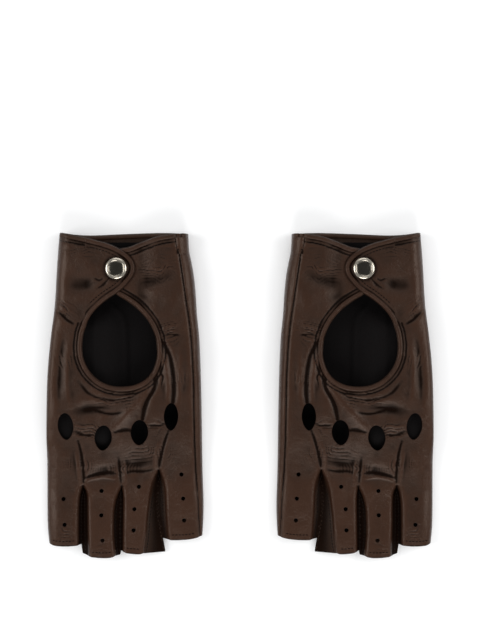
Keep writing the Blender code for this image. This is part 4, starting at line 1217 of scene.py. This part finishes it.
class GLOVES_OT_bindings(bpy.types.Operator):
    """Rolled leather bindings round the wrist opening, the underlap, the tab and the cuff"""

    bl_idname = "gloves.bindings"
    bl_label = "Rolled Bindings"

    def execute(self, context):
        settings, paint = context.scene.driving_gloves, materials()
        half, drop = settings.binding_width / MM / 2.0, 0.05
        skins = [paint["Edge Leather"]]
        opening = laid(offset_line(bound_opening(0.7), half), back_height, -drop)
        tab = laid(offset_line(flow(TAB_EDGE, 0.7), half), tab_height, -drop)
        ring = self.cuff_ring(half, drop)
        outward = unit(np.cross((0.0, 1.0, 0.0), unit(np.gradient(ring, axis=0))))
        for side in SIDES:
            piece = swept("opening_binding_roll", side, opening, half, 0.95, 1)
            dress(piece, side, ["hand"], ["opening_binding"], skins)
            piece = swept("tab_binding_roll", side, tab, half, 0.95, 2)
            dress(piece, side, ["hand", "tab"], ["tab_binding"], skins)
            piece = swept("cuff_binding_roll", side, ring, half, 0.95, 3, outward)
            dress(piece, side, ["hand"], ["cuff_binding"], skins)
        return {"FINISHED"}

    @staticmethod
    def cuff_ring(half, drop):
        """Round the cuff: from the tab's root, by the index side and the palm, to the little side."""
        top = flow([(TAB_BEND, 89.2), (-27.5, 90.4), (-31.2, 91.1), (-34.8, 91.7)], 0.8)
        top = laid(top - (0.0, half), back_height, -drop)
        low = flow([(-31.5, 91.6), (-19.0, 90.9), (0.0, 91.7), (20.0, 92.3), (30.0, 92.0)], 0.8)
        low = laid(low - (0.0, half), palm_height, 0.95)
        level = back_height(np.array([31.2]), np.array([90.6]))[0] - drop
        end = np.array([[31.2, 91.8 - half, level]])
        index_turn = side_turn(index_side(91.0) + 1.0, top[-1], low[0], -1.0)
        little_turn = side_turn(little_side(91.0) - 1.0, low[-1], end[0], 1.0)
        return flow(np.vstack([top, index_turn, low, little_turn, end])[::2], 0.7)


class GLOVES_OT_linings(bpy.types.Operator):
    """The lining seen through the wrist opening, and the facing under the tab"""

    bl_idname = "gloves.linings"
    bl_label = "Linings"

    def execute(self, context):
        paint = materials()
        y = np.linspace(-36.0, 87.0, 60)
        left = np.column_stack([index_side(y) + 5.5, y])
        right = np.column_stack([little_side(y) - 5.5, y])
        ring = np.vstack([left[::-1], right])
        lining = flat_sheet(ring, 1.5, self.lining_height, [oval(*THUMB_SLIT, 40)])
        ring = offset_line(flow(TAB_EDGE, 1.2), 2.4)
        ring = ring[ring[:, 0] > TAB_BEND + 0.8]
        facing = flat_sheet(ring, 1.6, lambda x, y: tab_height(x, y) - 1.0, [round_ring(SNAP, 4.9, 36)])
        cloth = [paint["Glove Lining"]] * 2
        for side in SIDES:
            piece = lining.whole("palm_lining_cloth", side, CLOTH)
            dress(piece, side, ["hand"], ["palm_lining"], cloth)
            piece = facing.whole("tab_facing_cloth", side, CLOTH)
            dress(piece, side, ["hand", "tab"], ["tab_facing"], cloth)
        return {"FINISHED"}

    @staticmethod
    def lining_height(x, y):
        """The lining lies on the palm, with a raised seam and two soft folds."""
        seam = [(-11.0, 56.0), (-9.6, 52.6), (-3.0, 46.2), (-0.7, 40.9), (-0.1, 34.3), (0.2, 21.2),
                (0.3, 2.0)]
        ridge = [(-17.5, 50.0), (-16.7, 25.0), (-17.8, 4.0)]
        valley = [(1.9, 40.0), (2.2, 22.0), (2.0, 4.0)]
        z = palm_height(x, y) + 1.75 + 0.35 * (1.0 + soft_noise(x, y, 12.0, 51))
        for line, half, height in ((seam, 0.9, 0.9), (ridge, 2.0, 0.8), (valley, 0.8, -0.35)):
            z = z + fold_relief(x, y, line, half, height)
        return z


class GLOVES_OT_thumbs(bpy.types.Operator):
    """Thumb stalls folded flat under the palms, and the gussets that join them"""

    bl_idname = "gloves.thumbs"
    bl_label = "Thumb Stalls"

    def execute(self, context):
        settings, paint = context.scene.driving_gloves, materials()
        low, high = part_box("left_thumb_stall")
        half = (high.x - low.x) / MM / 2.0 - 0.4
        mouth, top = low.y / MM + 0.3, high.z / MM - 0.3
        height, shoulder = high.z / MM / 2.0, THUMB[1] - 1.0
        sides = flow([(THUMB[0] - half * 0.92, mouth), (THUMB[0] - half, THUMB[1] - 14.0),
                      (THUMB[0] - half, shoulder)], 0.8)[:-1]
        angle = np.linspace(math.pi, 0.0, 54)
        cap = np.column_stack([THUMB[0] + half * np.cos(angle), shoulder + (half + 0.6) * np.sin(angle)])
        sides = np.vstack([sides, cap, ((2 * THUMB[0], 0.0) + sides * (-1.0, 1.0))[::-1]])
        tree = tree_of(flow(sides, 0.25))
        end = np.column_stack([np.linspace(sides[-1, 0], sides[0, 0], 34), np.full(34, mouth)])[1:-1]
        ring = np.vstack([sides, end])

        def level(up):
            def rise(x, y):
                fold = 0.28 * soft_noise(x, y, 7.0, 60 + up) + 0.1 * soft_noise(x, y, 2.4, 62 + up)
                flat = (top - 0.35 + 0.6 * fold) if up else (0.4 + 0.5 * fold)
                return height + (flat - height) * (1.0 - roll(distance(tree, x, y), 3.0))
            return rise

        slit = oval(*THUMB_SLIT, SLIT_STEPS)
        places, faces = pattern(ring, 1.2, [slit])
        under, under_faces = pattern(ring, 1.2)
        stall = Sheet([(lifted(places, level(1)), upward(faces, places, True), "thumb"),
                       (lifted(under, level(0)), upward(under_faces, under, False), "thumb")])
        # Each ring of the gusset is the slit's edge, grown outward and lifted
        outward = unit(slit - THUMB_SLIT[:2])
        collar = ((0.0, 1.3), (0.9, 0.5), (1.5, -0.3), (0.6, -0.9), (-0.5, -0.5), (-0.7, 0.9), (-0.4, 1.3))
        rings = [np.column_stack([slit + outward * out, np.full(len(slit), top + lift)])
                 for out, lift in collar]
        for side in SIDES:
            piece = stall.whole("thumb_stall_leather", side, settings.leather_thickness / MM)
            dress(piece, side, ["hand", "thumb"], ["thumb_stall"],
                  [paint["Outer Leather"], paint["Glove Lining"]])
            # Painted shade: the gusset gets tone 0.4, painted a little darker.
            piece = lofted("thumb_gusset_leather", side, rings, 0.4, True)
            dress(piece, side, ["hand"], ["thumb_gusset"], [paint["Outer Leather"]])
        return {"FINISHED"}


class GLOVES_OT_stitches(bpy.types.Operator):
    """Rows of stitches beside the bindings, the seams and the finger ends"""

    bl_idname = "gloves.stitches"
    bl_label = "Stitches"

    def execute(self, context):
        settings, thread = context.scene.driving_gloves, [materials()["Sewing Thread"]]
        rows = [OPENING_STITCHES, CUFF_STITCHES]
        gaps = [offset_line(flow(edge, 0.6), 1.25) for gap in BACK_GAPS for edge in gap]
        ends = [flow(end, 0.6)[2:-2] + (0.0, 2.7) for end in BACK_ENDS]
        hand = [row[row[:, 1] >= LITTLE_BEND] for row in rows]
        for side in SIDES:
            piece = stitch_rows("hand_stitches", side, laid_rows(hand), settings)
            dress(piece, side, ["hand"], [], thread)
            piece = stitch_rows("tab_stitches", side, [laid(TAB_STITCHES, tab_height)], settings)
            dress(piece, side, ["hand", "tab"], [], thread)
            for k, finger in enumerate(FINGERS):
                lines = [ends[k]] + gaps[max(0, 2 * k - 1):2 * k + 1]
                lines = [line[line[:, 1] < FINGER_BENDS[finger]] for line in lines]
                piece = stitch_rows(f"{finger}_stitches", side, laid_rows(lines), settings)
                dress(piece, side, ["hand", f"{finger}_finger"], [], thread)
        return {"FINISHED"}


class GLOVES_OT_snaps(bpy.types.Operator):
    """Domed snap caps, and a polished finish for the sockets, studs and posts"""

    bl_idname = "gloves.snaps"
    bl_label = "Snap Fasteners"

    def execute(self, context):
        settings, metal = context.scene.driving_gloves, materials()["Snap Metal"]
        low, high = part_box("left_snap_cap")
        radius, top = (high.x - low.x) / MM / 2.0, high.z / MM
        steps = (0.02, 0.15, 0.3, 0.45, 0.6, 0.75, 0.9, 1.0)
        dome = [(DOME_SHARE * radius * t, top - 0.35 * t * t) for t in steps]
        groove = [(0.645, 0.5), (0.665, 0.68), (0.69, 0.7), (0.71, 0.6)]
        rim = [(0.735, 0.46), (0.78, 0.42), (0.84, 0.46), (0.9, 0.62), (0.95, 0.9), (0.985, 1.25), (1.0, 1.6),
               (0.995, 1.9), (0.97, 2.3), (0.9, 2.75)]
        profile = dome + [(radius * r, top - down) for r, down in groove + rim]
        angle = np.linspace(0.0, 2.0 * math.pi, settings.snap_steps, endpoint=False)
        rings = [np.column_stack([SNAP[0] + r * np.cos(angle), SNAP[1] + r * np.sin(angle),
                                  np.full(len(angle), z)]) for r, z in profile]
        for side in SIDES:
            piece = lofted("snap_cap_dome", side, rings[::-1])
            places = np.array([vertex.co for vertex in piece.data.vertices]) / MM
            # Painted reflection: the dome is painted dark and the rim bright, as the cap reflects a dark
            # surround above and light at its rim.
            across = np.hypot(np.abs(places[:, 0]) + MIDDLE + SNAP[0], places[:, 1] - SNAP[1]) / radius
            tone = ease((across - DOME_SHARE) / 0.14).astype(np.float32)
            piece.data.attributes["tone"].data.foreach_set("value", tone)
            dress(piece, side, ["tab"], ["snap_cap"], [metal])
            for node in ("snap_socket", "snap_stud", "snap_post"):
                for material_slot in bpy.data.objects[f"{side}_{node}"].material_slots:
                    material_slot.material = metal
        return {"FINISHED"}


class GLOVES_OT_cuff_patches(bpy.types.Operator):
    """Small leather patches over the ends of the side seams at the cuff"""

    bl_idname = "gloves.cuff_patches"
    bl_label = "Cuff Patches"

    def execute(self, context):
        settings, paint = context.scene.driving_gloves, materials()
        corners = ((29.0, 89.4), (30.2, 80.4), (35.6, 80.0), (34.7, 89.6), (29.0, 89.4))
        ring = np.vstack([np.linspace(a, b, 14)[:-1] for a, b in zip(corners, corners[1:])])
        patch = flat_sheet(ring, 0.8, lambda x, y: back_height(x, y) + 0.62)
        for side in SIDES:
            piece = patch.whole("cuff_patch_leather", side, 0.6 * settings.leather_thickness / MM)
            dress(piece, side, ["hand"], ["cuff_side_patch"], [paint["Outer Leather"]] * 2)
        return {"FINISHED"}


FLOOR = 2.0
LIGHTS = (("Left_Softbox", (-0.75, 0.05, 0.62), 0.6, 4.4), ("Right_Softbox", (0.78, 0.15, 0.6), 0.6, 4.1),
          ("Back_Softbox", (0.0, 0.85, 0.55), 0.7, 1.8), ("Front_Softbox", (0.05, -0.8, 0.6), 0.6, 5.0))
SEEN = 364.8                    # how much of the floor's length the camera sees
CAMERA_ALONG = 42.75            # place of the camera along the gloves
SEEN_LEVEL = 7.0                # height at which it sees that much


class GLOVES_OT_studio(bpy.types.Operator):
    """Pale floor, soft lights and the camera straight above the gloves"""

    bl_idname = "gloves.studio"
    bl_label = "Studio"

    def execute(self, context):
        floor = bpy.data.meshes.new("Studio_Floor")
        corners = [(FLOOR * x, FLOOR * y, 0.0) for x, y in ((-1, -1), (1, -1), (1, 1), (-1, 1))]
        floor.from_pydata(corners, [], [(0, 1, 2, 3)])
        floor = bpy.data.objects.new("Studio_Floor", floor)
        floor.data.materials.append(floor_material())
        staged = [floor]
        for name, place, side, power in LIGHTS:
            light = bpy.data.lights.new(name, "AREA")
            light.shape, light.size, light.energy = "SQUARE", side, power
            lamp = bpy.data.objects.new(name, light)
            lamp.location = place
            lamp.rotation_euler = (-Vector(place)).to_track_quat("-Z", "Y").to_euler()
            staged.append(lamp)
        world_light = bpy.data.worlds.new("Studio_World")
        world_light.use_nodes = True
        background = world_light.node_tree.nodes["Background"].inputs
        background["Color"].default_value = (0.96, 0.98, 1.0, 1.0)
        background["Strength"].default_value = 0.30
        context.scene.world = world_light
        camera = bpy.data.cameras.new("Overhead_Camera")
        camera.lens, camera.sensor_fit, camera.sensor_height = 85.0, "VERTICAL", 36.0
        overhead = bpy.data.objects.new("Overhead_Camera", camera)
        height = SEEN * camera.lens / camera.sensor_height + SEEN_LEVEL
        overhead.location = (0.0, CAMERA_ALONG * MM, height * MM)
        staged.append(overhead)
        for thing in staged:
            context.collection.objects.link(thing)
        context.scene.camera = overhead
        context.scene.view_settings.view_transform = "Standard"
        return {"FINISHED"}


class GLOVES_PT_panel(bpy.types.Panel):
    """Lists the steps that build the gloves"""

    bl_idname = "GLOVES_PT_panel"
    bl_label = "Driving Gloves"
    bl_space_type = "VIEW_3D"
    bl_region_type = "UI"
    bl_category = "Gloves"

    def draw(self, context):
        settings = context.scene.driving_gloves
        for name in settings.bl_rna.properties.keys():
            if name not in ("rna_type", "name"):
                self.layout.prop(settings, name)
        for step in STEPS:
            self.layout.operator(step.bl_idname)


STEPS = (GLOVES_OT_leather, GLOVES_OT_fourchettes, GLOVES_OT_linings, GLOVES_OT_thumbs, GLOVES_OT_bindings,
         GLOVES_OT_stitches, GLOVES_OT_snaps, GLOVES_OT_cuff_patches, GLOVES_OT_studio)
CLASSES = (DrivingGloveSettings, GLOVES_PT_panel) + STEPS


def register():
    for cls in CLASSES:
        bpy.utils.register_class(cls)
    bpy.types.Scene.driving_gloves = PointerProperty(type=DrivingGloveSettings)


def unregister():
    del bpy.types.Scene.driving_gloves
    for cls in reversed(CLASSES):
        bpy.utils.unregister_class(cls)


def main():
    register()
    for step in STEPS:
        category, name = step.bl_idname.split(".")
        getattr(getattr(bpy.ops, category), name)()


if __name__ == "__main__":
    main()
